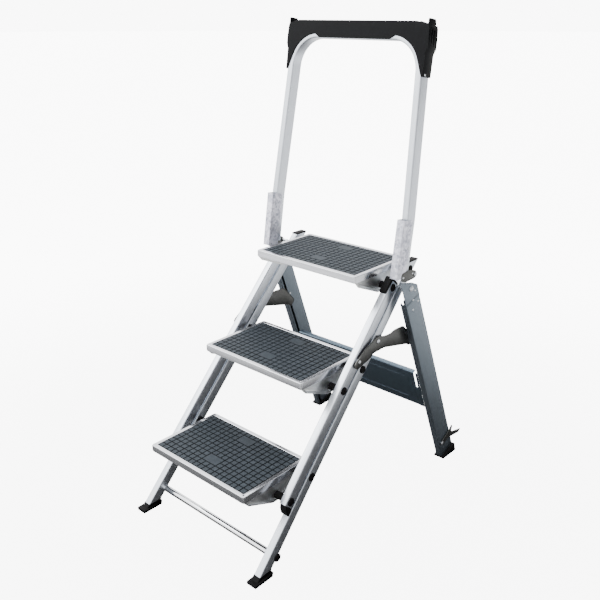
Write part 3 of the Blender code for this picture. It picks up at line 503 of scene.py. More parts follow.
# Plate under the mat with half-round ribs along it: z dips by the rib's height where cos passes zero.
def treadUnderside(at):
    y = np.linspace(tread["front"] + 0.004, tread["rear"] - 0.004, 97)
    share = (y - tread["front"]) / (tread["rear"] - tread["front"])
    wave = np.clip(np.cos(share * 2 * np.pi * tread["ribs"]), 0, 1)
    x = np.array([-1, -0.985, 0.985, 1]) * (tread["half"] - 0.004)
    low = at[1] + tread["top"] - 0.0066 - tread["ribDeep"] * wave[:, None] * np.array([0, 1, 1, 0])
    high = np.full_like(low, at[1] + tread["top"] - 0.0042)
    along = at[0] + y[:, None] + 0 * low
    return joinFaces((x + 0 * low, along, low), (x + 0 * high, along, high))


cheek = {"outline": ((-0.1965, 0.0005), (-0.1800, -0.0170), (-0.1250, -0.0400), (-0.0970, -0.0520),
                     (-0.0900, -0.0535), (-0.0700, -0.0535), (-0.0620, -0.0500), (-0.0440, -0.0400),
                     (0.0100, -0.0165), (0.0352, -0.0030)),
         "swage": 0.0009, "swageWide": 0.0045, "pivots": ((0.0, 0.0, 0.0145), (-0.0816, -0.0326, 0.0140)),
         "boss": 0.0008}


# Side panel: height runs from the top edge to the lower edge at each y, pushed out by a swaged line that
# follows the lower edge and by a ring round each pivot.
def treadCheek(at, side):
    lower = np.array(cheek["outline"])
    y = np.linspace(lower[0, 0], lower[-1, 0], 150)[:, None]
    low = np.interp(y, lower[:, 0], lower[:, 1])
    high = tread["top"] - 0.002
    share = np.linspace(0, 1, 46)[None]
    z = high + (low - high) * share
    gap = z - low
    line = np.exp(-((gap - 0.0085) / (cheek["swageWide"] * 0.5)) ** 2)
    push = cheek["swage"] * line * (y > -0.185) * (y < 0.028)
    push = push - 0.0005 * np.clip(gap / 0.006 - 2.4, 0, 1)
    for pivotY, pivotZ, radius in cheek["pivots"]:
        away = np.hypot(y - pivotY, z - pivotZ)
        push = np.where(away < radius + 0.004, np.minimum(push, 0.0), push)
        push = push + cheek["boss"] * np.exp(-((away - radius) / 0.0017) ** 2)
    outer = tread["half"] - 0.0012 + push
    inner = np.full_like(outer, tread["half"] - 0.0036)
    along, height = at[0] + y + 0 * z, at[1] + z
    return joinFaces((side * outer, along, height), (side * inner, along, height))


# Tiled mat: height falls to the groove where a point is near the edge of its tile.
def treadMat(at):
    halfX = tread["half"] - tread["rim"]
    front = tread["front"] + tread["rim"]
    rear = tread["rear"] - tread["rim"]
    g, s = mat["groove"], mat["slope"]

    def stations(start, end, count):
        pitch = (end - start) / count
        local = np.array([0, g, g + s, pitch - g - s, pitch - g])
        return np.append((start + pitch * np.arange(count)[:, None] + local).ravel(), end), pitch

    x, pitchX = stations(-halfX, halfX, mat["columns"])
    y, pitchY = stations(front, rear, mat["rows"])

    def nearEdge(value, start, pitch):
        local = np.mod(value - start + 1e-9, pitch)
        return np.minimum(local, pitch - local)

    raisedX = np.clip((nearEdge(x, -halfX, pitchX) - g) / s, 0, 1)[None]
    raisedY = np.clip((nearEdge(y, front, pitchY) - g) / s, 0, 1)[:, None]
    raised = np.minimum(raisedX, raisedY)
    for c0, c1, r0, r1 in mat["pads"]:
        x0, x1 = -halfX + c0 * pitchX, -halfX + c1 * pitchX
        y0, y1 = front + r0 * pitchY, front + r1 * pitchY
        inX = np.minimum(x - x0, x1 - x)[None]
        inY = np.minimum(y - y0, y1 - y)[:, None]
        inside = np.minimum(inX, inY)
        raised = np.where(inside > -1e-6, np.clip((inside - g) / s, 0, 1), raised)
    edgeGap = np.minimum(np.minimum(x + halfX, halfX - x)[None], np.minimum(y - front, rear - y)[:, None])
    raised = np.where(edgeGap < g, 0.25, raised)
    top = at[1] + tread["top"] + 0.0002 - mat["depth"] * (1 - raised)
    cut = np.clip(mat["corner"] - np.minimum(y - front, rear - y), 0, None)
    limit = halfX - mat["corner"] + np.sqrt(np.maximum(mat["corner"] ** 2 - cut ** 2, 0))
    across = np.clip(x[None], -limit[:, None], limit[:, None]) * 0.9995
    along = at[0] + np.clip(y, front + 0.0001, rear - 0.0001)[:, None] + 0 * across
    base = np.full_like(top, at[1] + tread["top"] - 0.0030)
    upper = np.stack([across, along, top], axis=-1)
    under = np.stack([across, along, base], axis=-1)[:, [-1, 0]]
    # tone is the raised share at each point; the mat's finish paints shade into the grooves from it
    tone = np.concatenate([raised, np.zeros((len(y), 2))], axis=1).ravel()
    return skin(np.concatenate([upper, under], axis=1)), tone


for index, level in enumerate(("low", "mid", "top")):
    at = (layout["firstPivot"][0] + index * layout["run"] - layout["middle"],
          layout["firstPivot"][1] + index * layout["rise"])
    makePiece("treadPan_" + level, [treadFrame(at), treadUnderside(at)], "pan", ["tread_" + level], sharp=40)
    body = bodyOf["tread_" + level]
    for sideName, side in sides:
        makePiece(f"treadCheek_{level}_{sideName}", [treadCheek(at, side)], "cheek", [], body, sharp=50)
    shell, tone = treadMat(at)
    piece = makePiece("treadMat_" + level, [shell], "mat", ["tread_mat_" + level], sharp=20)
    piece.data.attributes.new("raised", "FLOAT", "POINT").data.foreach_set("value", tone.astype(np.float32))
    for sideName, side in sides:
        for which, (alongAt, squareAt) in pivots:
            along = index * layout["railTop"] / 2 + alongAt
            place = railPlane(squareAt, along)
            out = railOut(along)
            tall = 0.0018 if level == "top" else 0.0030
            bush = stepped([(0.1744, 0.1771, 0.0080), (0.1771, 0.1813, 0.0050), (0.1813, out - 0.0220, 0.0100),
                            (out - 0.0220, out + 0.0005, 0.0050)])
            head = [(out + 0.0005, 0.0106), (out + 0.0009, 0.0110), (out + 0.0005 + tall * 0.6, 0.0108),
                    (out + 0.0005 + tall * 0.9, 0.0096), (out + 0.0005 + tall, 0.0080),
                    (out + 0.0005 + tall, 0.0030), (out + tall, 0.0024)]
            makePiece(f"pivot_{which}_{level}_{sideName}", [turning(bush + head, place, side)], "rubber",
                      [f"{which}_pin_{level}_{sideName}"])
print("treads made")


# Rails, tie bar and its plugs.
rail = {"wide": 0.0215, "deep": 0.0315, "corner": 0.0028, "lowZ": 0.0092, "topZ": 0.6905,
        "front": (-0.0932, 0.55945), "square": layout["frontLink"][1]}


# Rounded section carried up the rail; lowEnd and highEnd give where along the rail each point stops.
def railShell(side, square, lowEnd, highEnd):
    ring = roundRect(rail["wide"] / 2, rail["deep"] / 2, rail["corner"], 5)
    share = np.linspace(0, 1, 5)[:, None]
    across = ring[None, :, 1] + square + 0 * share
    along = lowEnd(across) * (1 - share) + highEnd(across) * share
    y, z = railPlane(across, along)
    x = side * (railOut(along) - rail["wide"] / 2 + ring[None, :, 0])
    return skin(np.stack([x, y, z], axis=-1))


# Where a level cut at this height meets the rail: along = (height - z0 + across cos) / sin.
def levelEnd(height):
    return lambda across: (height - layout["firstPivot"][1] + across * math.cos(slope)) / math.sin(slope)


for sideName, side in sides:
    makePiece("mainRail_" + sideName, [railShell(side, 0.0, levelEnd(rail["lowZ"]), levelEnd(rail["topZ"]))],
              "rail", ["main_rail_" + sideName])
    low, high = rail["front"]
    makePiece("frontRail_" + sideName, [railShell(side, rail["square"], lambda a: low + 0 * a,
                                                  lambda a: high + 0 * a)], "rail", ["front_rail_" + sideName])
tie = {"radius": 0.009, "edge": 0.0004, "plug": 0.0112, "plugRise": 0.0036}
tieAt = railPlane(layout["tieSquare"], layout["tieAlong"])
tieOut = railOut(layout["tieAlong"])
halfBar = [(tieOut - tie["edge"], tie["radius"]), (tieOut, tie["radius"] - 0.0002)]
tieProfile = [(-x, r) for x, r in halfBar[::-1]] + [(0.0, tie["radius"])] + halfBar
makePiece("tieBar", [turning(tieProfile, tieAt, 1, 48)], "chrome", ["tie_bar"])
for sideName, side in sides:
    plug = stepped([(tieOut - 0.012, tieOut + 0.0005, 0.0060)])
    plug += dome(tieOut + 0.0010, tie["plug"], tie["plugRise"])
    makePiece("tiePlug_" + sideName, [turning(plug, tieAt, side, 32)], "rubber", ["tie_plug_" + sideName])
print("rails made")


# Handrail, brackets and hinge plates.
handrail = {"wide": 0.021, "deep": 0.037, "front": -0.0676, "low": 0.0040, "straight": 0.150, "bend": 0.5187,
            "top": 0.6187, "xLow": 0.2358, "xBend": 0.2174, "corner": 0.0045}


# Centreline from the foot of one leg to the other: straight, leaning, then a quarter turn of the bend.
def handrailPath():
    radius = handrail["top"] - handrail["bend"] - handrail["wide"] / 2
    turns = np.linspace(0, np.pi / 2, 25)[1:]
    x = np.concatenate([[handrail["xLow"]] * 2, [handrail["xBend"]],
                        handrail["xBend"] - radius * (1 - np.cos(turns))])
    w = np.concatenate([[handrail["low"], handrail["straight"], handrail["bend"]],
                        handrail["bend"] + radius * np.sin(turns)])
    return np.concatenate([np.column_stack([x, w]), np.column_stack([-x[::-1], w[::-1]])])


# Rounded section carried along the centreline, square to it: centre + u outward, with v across the tube.
def handrailShell():
    path = handrailPath()
    step = np.gradient(path, axis=0)
    step[0], step[-1] = path[1] - path[0], path[-1] - path[-2]
    step /= np.linalg.norm(step, axis=1, keepdims=True)
    outward = np.column_stack([step[:, 1], -step[:, 0]])
    ring = roundRect(handrail["wide"] / 2, handrail["deep"] / 2, handrail["corner"], 5)
    across = path[:, None] + ring[None, :, :1] * outward[:, None]
    depth = handrail["front"] + handrail["deep"] / 2 + ring[None, :, 1] + 0 * across[..., 0]
    y, z = handPlane(depth, across[..., 1])
    return skin(np.stack([across[..., 0], y, z], axis=-1))


makePiece("handrailTube", [handrailShell()], "handrail", ["handrail"], sharp=40)

bracket = {"wall": 0.0012, "gap": 0.0003, "low": -0.0079, "high": 0.1508, "proud": 0.018, "reach": 0.022,
           "corner": 0.0028, "rivet": (-0.0505, 0.0758)}


# Channel section: an outer U and the same U moved in by the wall, carried up the bracket.
def bracketShell(side):
    def halfU(inset):
        reach = handrail["wide"] / 2 + bracket["gap"] + bracket["wall"] - inset
        front = handrail["front"] - bracket["proud"] + inset
        r = max(bracket["corner"] - inset, 0.0008)
        turns = np.linspace(0, np.pi / 2, 5)
        arc = np.column_stack([reach - r + r * np.cos(turns), front + r - r * np.sin(turns)])
        right = np.concatenate([[[reach, handrail["front"] + bracket["reach"]]], arc])
        return np.concatenate([right, right[::-1] * [-1, 1]])
    section = np.concatenate([halfU(0.0), halfU(bracket["wall"])[::-1]])
    w = np.linspace(bracket["low"], bracket["high"], 9)[:, None]
    y, z = handPlane(section[None, :, 1] + 0 * w, w + 0 * section[None, :, 1])
    x = side * handrail["xLow"] + section[None, :, 0] + 0 * w
    return skin(np.stack([x, y, z], axis=-1))


# Thinner than the CAD's 1.8 mm plate: the leg's web below leans in 1 mm further than the CAD's flat inner
# face, and a full plate would pass through it when the stool is folded.
hinge = {"outline": ((-0.0640, 0.0160, 0.006), (-0.0650, -0.0060, 0.006), (-0.0400, -0.0130, 0.006),
                     (0.0040, -0.0110, 0.009), (0.0100, 0.0020, 0.007), (-0.0020, 0.0130, 0.009),
                     (-0.0300, 0.0190, 0.006)), "low": 0.2482, "high": 0.2490,
         "rivets": ((-0.0560, 0.0030, 0.0034, 0.0018), (-0.0120, 0.0050, 0.0028, 0.0012))}
hingePlane = turnedPlane(layout["handPivot"], 0.0)
bracketOut = handrail["xLow"] + handrail["wide"] / 2 + bracket["gap"] + bracket["wall"]
for sideName, side in sides:
    makePiece("bracket_" + sideName, [bracketShell(side)], "coated", ["bracket_" + sideName], bevel=0.0003)
    head = rivetHead(bracketOut, handPlane(*bracket["rivet"]), 0.0036, 0.0020, side)
    makePiece("bracketRivets_" + sideName, [head], "bright", [], "handrail_body")
    plate = sheet(softCorners(hinge["outline"]), hinge["low"], hinge["high"],
                  sideways(hingePlane, side), 0.0005)
    makePiece("hingePlate_" + sideName, [plate], "zinc", ["hinge_plate_" + sideName])
    heads = [rivetHead(hinge["high"], hingePlane(u, v), radius, rise, side)
             for u, v, radius, rise in hinge["rivets"]]
    makePiece("hingeRivets_" + sideName, heads, "bright", [], "handrail_body")
print("handrail made")


# Tool tray.
tray = {"proud": 0.0028, "wall": 0.003, "bottom": 0.6192, "floor": 0.6260, "top": 0.6436, "widest": 0.2364,
        "strap": 0.2306, "strapEnd": 0.5112, "apronBar": 0.1190, "apronLow": 0.5985, "apronArch": 0.0895,
        "barHalf": 0.195, "lipHalf": 0.200, "blockFrom": 0.1860, "edge": 0.0011, "rivet": (-0.0550, 0.5165),
        "ribs": 7, "ribFrom": 0.2010, "ribPitch": 0.0038, "ribWide": 0.0018, "ribDrop": 0.0009,
        "hooks": 3, "hookFrom": 0.006, "hookPitch": 0.0105, "hookWide": 0.0025}


# Outlines drawn across the handrail, thickness from front to rear.
def acrossHand(u, v, t):
    y, z = handPlane(t, v)
    return u, y, z


# A wall in the hand plane: at each x it fills from lower(x) to upper(x), with eased edges.
def betweenCurves(lower, upper, near, far, edge):
    marks = np.concatenate([np.linspace(0, 0.236, 119), lower[:, 0], upper[:, 0]])
    half = np.unique(np.round(marks[marks <= min(lower[-1, 0], upper[-1, 0])], 6))
    x = np.concatenate([-half[:0:-1], half])
    low = np.interp(np.abs(x), lower[:, 0], lower[:, 1])[:, None]
    high = np.interp(np.abs(x), upper[:, 0], upper[:, 1])[:, None]
    w = np.concatenate([low + edge, low, low, low + edge, high - edge, high, high, high - edge], axis=1)
    t = np.array([near, near + edge, far - edge, far, far, far - edge, near + edge, near]) + 0 * w
    y, z = handPlane(t, w)
    return skin(np.stack([x[:, None] + 0 * w, y, z], axis=-1))


# Front and rear walls cut from one arched outline, a floor between them, and a block at either end.
def trayShells():
    front = handrail["front"] - tray["proud"]
    rear = handrail["front"] + handrail["deep"] + tray["proud"]
    bottom, top, end, strap, widest = (tray[key] for key in ("bottom", "top", "strapEnd", "strap", "widest"))
    centre = (handrail["xBend"] + handrail["wide"] / 2 - 0.1003, handrail["bend"])

    def arc(radius, start, stop, count):
        turns = np.radians(np.linspace(start, stop, count))
        return np.column_stack([centre[0] + radius * np.cos(turns), centre[1] + radius * np.sin(turns)])

    lower = np.concatenate([[[0.0, tray["apronLow"]], [tray["apronBar"], tray["apronLow"]]],
                            arc(tray["apronArch"], 86, 22, 14),
                            [[0.2261, 0.5150], [0.2296, end], [strap, end], [strap + 0.0002, 0.5660],
                             [widest, 0.5800]]])
    upper = np.array([[0.0, 0.6439], [0.1940, 0.6439], [0.1980, 0.6436], [0.2160, 0.6395], [0.2318, 0.6362],
                      [0.2344, 0.6280], [widest, 0.6000]])
    walls = [betweenCurves(lower, upper, front, handrail["front"] - 0.0003, 0.0008),
             betweenCurves(lower, upper, rear - 0.0025, rear, 0.0008)]
    half = tray["barHalf"]
    bar = np.array([[-half, bottom], [half, bottom], [half, tray["floor"]], [-half, tray["floor"]]])
    walls.append(sheet(bar, front + 0.001, rear - 0.001, acrossHand, 0.0003))
    half, foot = tray["lipHalf"], tray["floor"] - 0.001
    lip = np.array([[-half, foot], [half, foot], [half - 0.0015, top], [0.0015 - half, top]])
    walls.append(sheet(lip, front + 0.0002, front + tray["wall"], acrossHand, 0.0006))
    walls.append(sheet(lip, rear - tray["wall"], rear - 0.0002, acrossHand, 0.0006))
    block = np.concatenate([arc(0.1006, 64, 0, 12),
                            [[0.2288, end], [strap, end], [strap, 0.5655], [0.2362, 0.5795], [0.2340, 0.6290],
                             [0.2300, 0.6360], [tray["blockFrom"], top], [tray["blockFrom"], bottom],
                             [centre[0] + 0.035, bottom]]])
    ear = softCorners(((front + 0.0006, 0.618, 0.001), (front + 0.0006, 0.6490, 0.002),
                       (front + 0.0030, 0.6512, 0.002), (front + 0.0300, 0.6512, 0.003),
                       (front + 0.0340, 0.6420, 0.006), (front + 0.0340, 0.618, 0.001)))
    rib = softCorners(((front + 0.0002, 0.6300, 0.0005), (front + 0.0002, 0.6418, 0.0005),
                       (front + 0.0130, 0.6452, 0.0005), (front + 0.0130, 0.6300, 0.0005)), 2)
    for side in (-1, 1):
        beside = sideways(handPlane, side)
        walls.append(sheet(block * [side, 1], front + 0.0004, rear - 0.0004, acrossHand, tray["edge"]))
        walls.append(sheet(ear, 0.2290, 0.2326, beside, 0.0008))
        for k in range(tray["ribs"]):
            start = tray["ribFrom"] + tray["ribPitch"] * k
            walls.append(sheet(rib - [0, tray["ribDrop"] * k], start, start + tray["ribWide"], beside, 0.0003))
        for k in range(tray["hooks"]):
            near = front + tray["hookFrom"] + tray["hookPitch"] * k
            far = near + tray["hookWide"]
            hook = softCorners(((near, 0.5850, 0.001), (far, 0.5850, 0.001), (far, 0.6250, 0.001),
                                (near, 0.6250, 0.001)), 3)
            walls.append(sheet(hook, 0.2330, widest + 0.0002, beside, 0.0006))
    return walls


makePiece("toolTray", trayShells(), "plastic", ["tool_tray"], sharp=40)
makePiece("trayRivets", [rivetHead(tray["strap"], handPlane(*tray["rivet"]), 0.0032, 0.0016, side)
                         for side in (-1, 1)], "bright", [], "handrail_body")
print("tray made")


# Braces.
brace = {"outline": ((-0.1030, -0.0356, 0.010), (-0.0930, -0.0530, 0.010), (-0.0300, -0.0370, 0.010),
                     (-0.0241, -0.0286, 0.008), (0.0283, -0.0277, 0.004), (0.1366, -0.0537, 0.004),
                     (0.1520, -0.0630, 0.006), (0.1700, -0.0460, 0.012), (0.1185, 0.0090, 0.008),
                     (0.0772, 0.0100, 0.010), (0.0530, 0.0046, 0.010), (0.0305, 0.0064, 0.012),
                     (-0.0043, 0.0160, 0.012), (-0.0560, -0.0036, 0.008)),
         "low": 0.2280, "high": 0.2305, "flangeWide": 0.0016, "along": 0.3995,
         "heads": {"main": (0.0066, 0.0020), "front": (0.0052, 0.0018)},
         "studs": ((0.1500, -0.0180), (0.1560, -0.0440))}
braceAt = (layout["firstPivot"][0] + brace["along"] * math.cos(slope),
           layout["firstPivot"][1] + brace["along"] * math.sin(slope))
bracePlane = turnedPlane(braceAt, 0.0)
for sideName, side in sides:
    outline = softCorners(brace["outline"], 7)
    blank = sheet(outline, brace["low"] + 0.0006, brace["high"] - 0.0008, sideways(bracePlane, side), 0.0004)
    # rolled edge: the outline and the same outline drawn in by the flange's width, joined as one band
    drawn = outline + brace["flangeWide"] * inwardOf(outline)
    rolled = brace["high"] + 0.0004
    band = []
    for uv, x in ((outline, brace["low"]), (outline, rolled), (drawn, rolled), (drawn, brace["low"])):
        y, z = bracePlane(uv[:, 0], uv[:, 1])
        band.append(np.stack([side * (x + 0 * y), y, z], axis=-1))
    makePiece("brace_" + sideName, [blank, skin(np.array(band), closed=True)], "zinc", ["brace_" + sideName])
    for which, (alongAt, squareAt) in pivots:
        place = railPlane(squareAt, brace["along"] + alongAt)
        out = railOut(brace["along"] + alongAt)
        shank = stepped([(out - 0.0038, out + 0.0005, 0.0040), (out + 0.0005, brace["low"], 0.0080),
                         (brace["low"], brace["high"] + 0.0003, 0.0040)])
        head = dome(brace["high"] + 0.0006, *brace["heads"][which])
        makePiece(f"braceRivet_{which}_{sideName}", [turning(shank + head, place, side)], "bright",
                  [f"brace_rivet_{which}_{sideName}"])
    studs = [rivetHead(brace["high"], bracePlane(u, v), 0.0030, 0.0014, side) for u, v in brace["studs"]]
    makePiece("braceStuds_" + sideName, studs, "bright", [], bodyOf["brace_" + sideName])
print("braces made")


# Rear legs, cross panel and feet.
leg = {"wide": 0.0205, "front": -0.0362, "rear": 0.0294, "wall": 0.0022, "boxTop": -0.0340, "end": -0.6590,
       "slot": (-0.0300, -0.0210), "corner": 0.0022,
       "web": ((-0.0362, -0.0400, 0.0004), (0.0294, -0.0400, 0.0004), (0.0294, -0.0054, 0.0015),
               (0.0200, 0.0040, 0.0040), (0.0080, 0.0165, 0.0080), (-0.0362, 0.0440, 0.0040)),
       "rivets": ((-0.0020, -0.0380), (-0.0120, -0.0660), (0.0170, -0.0560), (0.0135, -0.0160))}
shoe = {"inner": 0.2418, "outer": 0.2776, "grow": 0.002, "heel": 0.010, "edge": 0.0012}


# The leg's outer face: it leans outwards down the leg.
def legOut(z):
    return layout["legOut"] - layout["legSplay"] * z


# Section of the leg at the hinge: an outer box with eased corners, open at the slot, and its inner wall.
def legSection():
    x0, x1 = layout["legOut"] - leg["wide"], layout["legOut"]
    c, wall = leg["corner"], leg["wall"]
    turns = np.linspace(0, np.pi / 2, 5)
    corner = []
    for cx, cy, start in ((x0 + c, leg["front"] + c, np.pi), (x1 - c, leg["front"] + c, 1.5 * np.pi),
                          (x1 - c, leg["rear"] - c, 0.0), (x0 + c, leg["rear"] - c, 0.5 * np.pi)):
        corner.append(np.column_stack([cx + c * np.cos(start + turns), cy + c * np.sin(start + turns)]))
    low, high = leg["slot"]
    inner = np.array([[x0 + wall, leg["rear"] - wall], [x1 - wall, leg["rear"] - wall],
                      [x1 - wall, leg["front"] + wall], [x0 + wall, leg["front"] + wall]])
    return np.concatenate([[[x0, low]], *corner, [[x0, high], [x0 + wall, high]], inner, [[x0 + wall, low]]])


# Rubber shoe: its outline on the floor rises to the square-cut end of the leg.
def footWedge(side):
    lean = math.radians(layout["legLean"])
    ends = [(s * math.cos(lean) - (leg["end"] - 0.0003) * math.sin(lean),
             s * math.sin(lean) + (leg["end"] - 0.0003) * math.cos(lean))
            for s in (leg["front"] - shoe["grow"], leg["rear"] + shoe["grow"])]
    floor = -layout["legHinge"][1]
    outline = softCorners(((ends[0][0] - 0.0004, floor, 0.001), (ends[1][0] + shoe["heel"], floor, 0.0015),
                           (ends[1][0] + 0.008, floor + 0.004, 0.001), (ends[1][0], ends[1][1], 0.002),
                           (ends[0][0], ends[0][1], 0.001)))
    shoePlane = turnedPlane(layout["legHinge"], 0.0)
    return sheet(outline, shoe["inner"], shoe["outer"], sideways(shoePlane, side), shoe["edge"])


panel = {"low": -0.4404, "high": -0.2996, "lip": 0.0130, "sheet": 0.0018, "notch": (0.2268, 0.2330, -0.3600)}
for sideName, side in sides:
    section = legSection()
    z = np.linspace(leg["end"], leg["boxTop"], 13)[:, None]
    y, height = legPlane(section[None, :, 1] + 0 * z, z + 0 * section[None, :, 1])
    x = side * (section[None, :, 0] - layout["legSplay"] * z)
    tube = skin(np.stack([x, y, height], axis=-1))
    web = sheet(softCorners(leg["web"]), -0.0020, 0.0, sideways(legPlane, side, legOut), 0.0003)
    name = "rear_leg_" + sideName
    makePiece("rearLeg_" + sideName, [tube, web], "leg", [name])
    heads = [turning(dome(legOut(v), 0.0036, 0.0018), legPlane(u, v), side, 20) for u, v in leg["rivets"]]
    makePiece("legRivets_" + sideName, heads, "bright", [], "rear_frame")
    makePiece("rearFoot_" + sideName, [footWedge(side)], "rubber", ["rear_foot_" + sideName])
    out = railOut(layout["boltAlong"])
    bolt = stepped([(out - 0.0048, out + 0.0005, 0.0040), (out + 0.0005, 0.2502, 0.0085),
                    (0.2502, 0.2530, 0.0040)])
    hinged = (layout["legHinge"][0] - layout["middle"], layout["legHinge"][1])
    hexHead = turning([(0.2530, 0.0074), (0.2534, 0.0080), (0.2552, 0.0080), (0.2558, 0.0070)], hinged, side, 6)
    end = turning(dome(0.2556, 0.0046, 0.0014), hinged, side)
    washer = turning(stepped([(0.2526, 0.2532, 0.0088)], 0.0002), hinged, side)
    makePiece("legBolt_" + sideName, [turning(bolt, hinged, side), washer, hexHead, end], "bright",
              ["leg_bolt_" + sideName])
    pinAt = (layout["handPivot"][0] - layout["middle"], layout["handPivot"][1])
    handPin = stepped([(railOut(layout["handPinAlong"]) - 0.0028, 0.2246, 0.0028), (0.2246, 0.2479, 0.0050),
                       (0.2479, 0.2503, 0.0028)])
    makePiece("handPin_" + sideName, [turning(handPin + dome(0.2506, 0.0060, 0.0020), pinAt, side)], "bright",
              ["hand_pin_" + sideName])


# Folded panel: the section of a shallow channel carried across, each point at its share of the half width,
# which follows the legs' splay; the ends narrow where the brace swings by.
def panelShells():
    def half(z):
        return layout["legOut"] - leg["wide"] - 0.0003 - layout["legSplay"] * z
    face, lip, wall, r = leg["front"], panel["lip"], panel["sheet"], 0.003
    turns = np.linspace(0, np.pi / 2, 4)

    def fold(inset):
        c = max(r - inset, 0.0008)
        low, high, front = panel["low"] + inset, panel["high"] - inset, face + inset
        bottom = np.column_stack([front + c - c * np.sin(turns), low + c - c * np.cos(turns)])
        top = np.column_stack([front + c - c * np.cos(turns), high - c + c * np.sin(turns)])
        return np.concatenate([[[face + lip, low]], bottom, top, [[face + lip, high]]])
    section = np.concatenate([fold(0.0), fold(wall)[::-1]])
    cut = panel["notch"][0] - 0.0002
    u = np.linspace(-1, 1, 9)[:, None]
    y, z = legPlane(section[None, :, 0] + 0 * u, section[None, :, 1] + 0 * u)
    middle = skin(np.stack([u * np.minimum(half(section[:, 1]), cut)[None], y, z], axis=-1))
    shells = [middle]
    beads = softCorners(((-0.190, -0.4160, 0.010), (0.190, -0.4160, 0.010), (0.190, -0.4120, 0.010),
                         (-0.190, -0.4120, 0.010)))
    for lift in (0.0, 0.0860):
        def beadWorld(a, b, t):
            yy, zz = legPlane(face - t, b + lift)
            return a, yy, zz
        shells.append(sheet(beads, -0.0010, 0.0007, beadWorld, 0.0007))
    for side in (-1, 1):
        low, high = panel["low"], panel["notch"][2]
        ear = np.array([[cut - 0.0008, low], [half(low), low], [half(high), high], [cut - 0.0008, high]])

        def earWorld(a, b, t):
            yy, zz = legPlane(face + t, b)
            return side * a, yy, zz
        shells.append(sheet(ear, 0.0, wall, earWorld, 0.0003))
        outerTop = panel["high"]
        strip = np.array([[panel["notch"][1] + 0.0002, high], [half(high), high], [half(outerTop), outerTop],
                          [panel["notch"][1] + 0.0002, outerTop]])
        if half(high) - panel["notch"][1] > 0.001:
            shells.append(sheet(strip, 0.0, wall, earWorld, 0.0003))
    return shells


makePiece("crossPanel", panelShells(), "panel", ["cross_panel"])
print("rear frame made")


# Rail feet, stops and caps.
fitting = {"foot": ((-0.0003, 0.0, 0.0010), (0.0620, 0.0, 0.0020), (0.0648, 0.0128, 0.0012),
                    (0.0622, 0.0128, 0.0008), (0.0585, 0.0089, 0.0030), (-0.0003, 0.0087, 0.0020)),
           "footInner": 0.2076, "footOuter": 0.2399, "capTall": 0.004,
           "collar": ((0.0085, 0.0016), (0.0125, 0.0012), (0.0175, 0.0008))}   # height and growth of each ring
toePlane = turnedPlane((0.0, 0.0), 0.0)
for sideName, side in sides:
    pad = sheet(softCorners(fitting["foot"]), fitting["footInner"], fitting["footOuter"],
                sideways(toePlane, side), 0.0012)
    collar = []
    for height, grow in fitting["collar"]:
        ring = roundRect(rail["wide"] / 2 + grow, rail["deep"] / 2 + grow, rail["corner"], 5)
        along = levelEnd(height)(ring[:, 1])
        y, z = railPlane(ring[:, 1], along)
        collar.append(np.stack([side * (railOut(along) - rail["wide"] / 2 + ring[:, 0]), y, z], axis=-1))
    makePiece("railFoot_" + sideName, [pad, skin(np.array(collar))], "rubber", ["main_foot_" + sideName])
    square, half = rail["square"], rail["deep"] / 2
    for which, end in zip(("stop", "cap"), rail["front"]):
        face = -square - half - 0.0004
        lip = square - half - 0.0003
        if which == "stop":
            corners = ((square - 0.0100, end, 0.0008), (square + half - 0.0002, end, 0.0008),
                       (square + face, end - 0.0085, 0.0015), (square + face, end - 0.0220, 0.0025),
                       (square + 0.0100, end - 0.0202, 0.0025), (square - 0.0040, end - 0.0105, 0.0015))
        else:
            corners = ((square + half, end, 0.0008), (square + half, end + 0.0070, 0.0020),
                       (lip - 0.0062, end + 0.0070, 0.0030), (lip - 0.0062, end - 0.0390, 0.0020),
                       (lip, end - 0.0430, 0.0010), (lip, end, 0.0002))
        out = railOut(end)
        shell = sheet(softCorners(corners), out - rail["wide"] + 0.0003, out - 0.0003,
                      sideways(railPlane, side), 0.0010)
        makePiece(f"frontFitting_{which}_{sideName}", [shell], "rubber", [f"front_{which}_{sideName}"])
    centre = railPlane(0.0, (rail["topZ"] - layout["firstPivot"][1]) / math.sin(slope))[0] + layout["middle"]
    reach = rail["deep"] / math.sin(slope) / 2
    low, high = rail["topZ"], rail["topZ"] + fitting["capTall"]
    cap = softCorners(((centre - reach, low, 0.0008), (centre + reach, low, 0.0008),
                       (centre + reach, high, 0.0015), (centre - reach, high, 0.0015)))
    out = railOut(layout["railTop"] + 0.02)
    makePiece("railCap_" + sideName, [sheet(cap, out - rail["wide"], out, sideways(toePlane, side), 0.0008)],
              "rubber", ["main_cap_" + sideName])
print("fittings made")


# Transport latch.
latch = {"at": (0.8068, 0.0582), "thick": 0.0020,
         "outline": ((-0.0090, -0.0065, 0.006), (0.0080, -0.0080, 0.003), (0.0330, 0.0040, 0.004),
                     (0.0520, 0.0020, 0.003), (0.0980, -0.0040, 0.002), (0.1100, 0.0060, 0.003),
                     (0.0700, 0.0150, 0.003), (0.0500, 0.0210, 0.004), (0.0560, 0.0400, 0.003),
                     (0.0490, 0.0450, 0.003), (0.0330, 0.0290, 0.004), (0.0000, 0.0090, 0.006))}
latchX = legOut(leg["end"]) + 0.0005
latchPlane = turnedPlane(latch["at"], 0.0)
makePiece("transportLatch", [sheet(softCorners(latch["outline"]), latchX, latchX + latch["thick"],
                                   sideways(latchPlane), 0.0004)], "zinc", ["latch"])
shank = stepped([(latchX - 0.0060, latchX + 0.0024, 0.0030)]) + dome(latchX + 0.0027, 0.0056, 0.0016)
makePiece("latchRivet", [turning(shank, latchPlane(0.0, 0.0))], "bright", ["latch_pin"])
print("latch made")

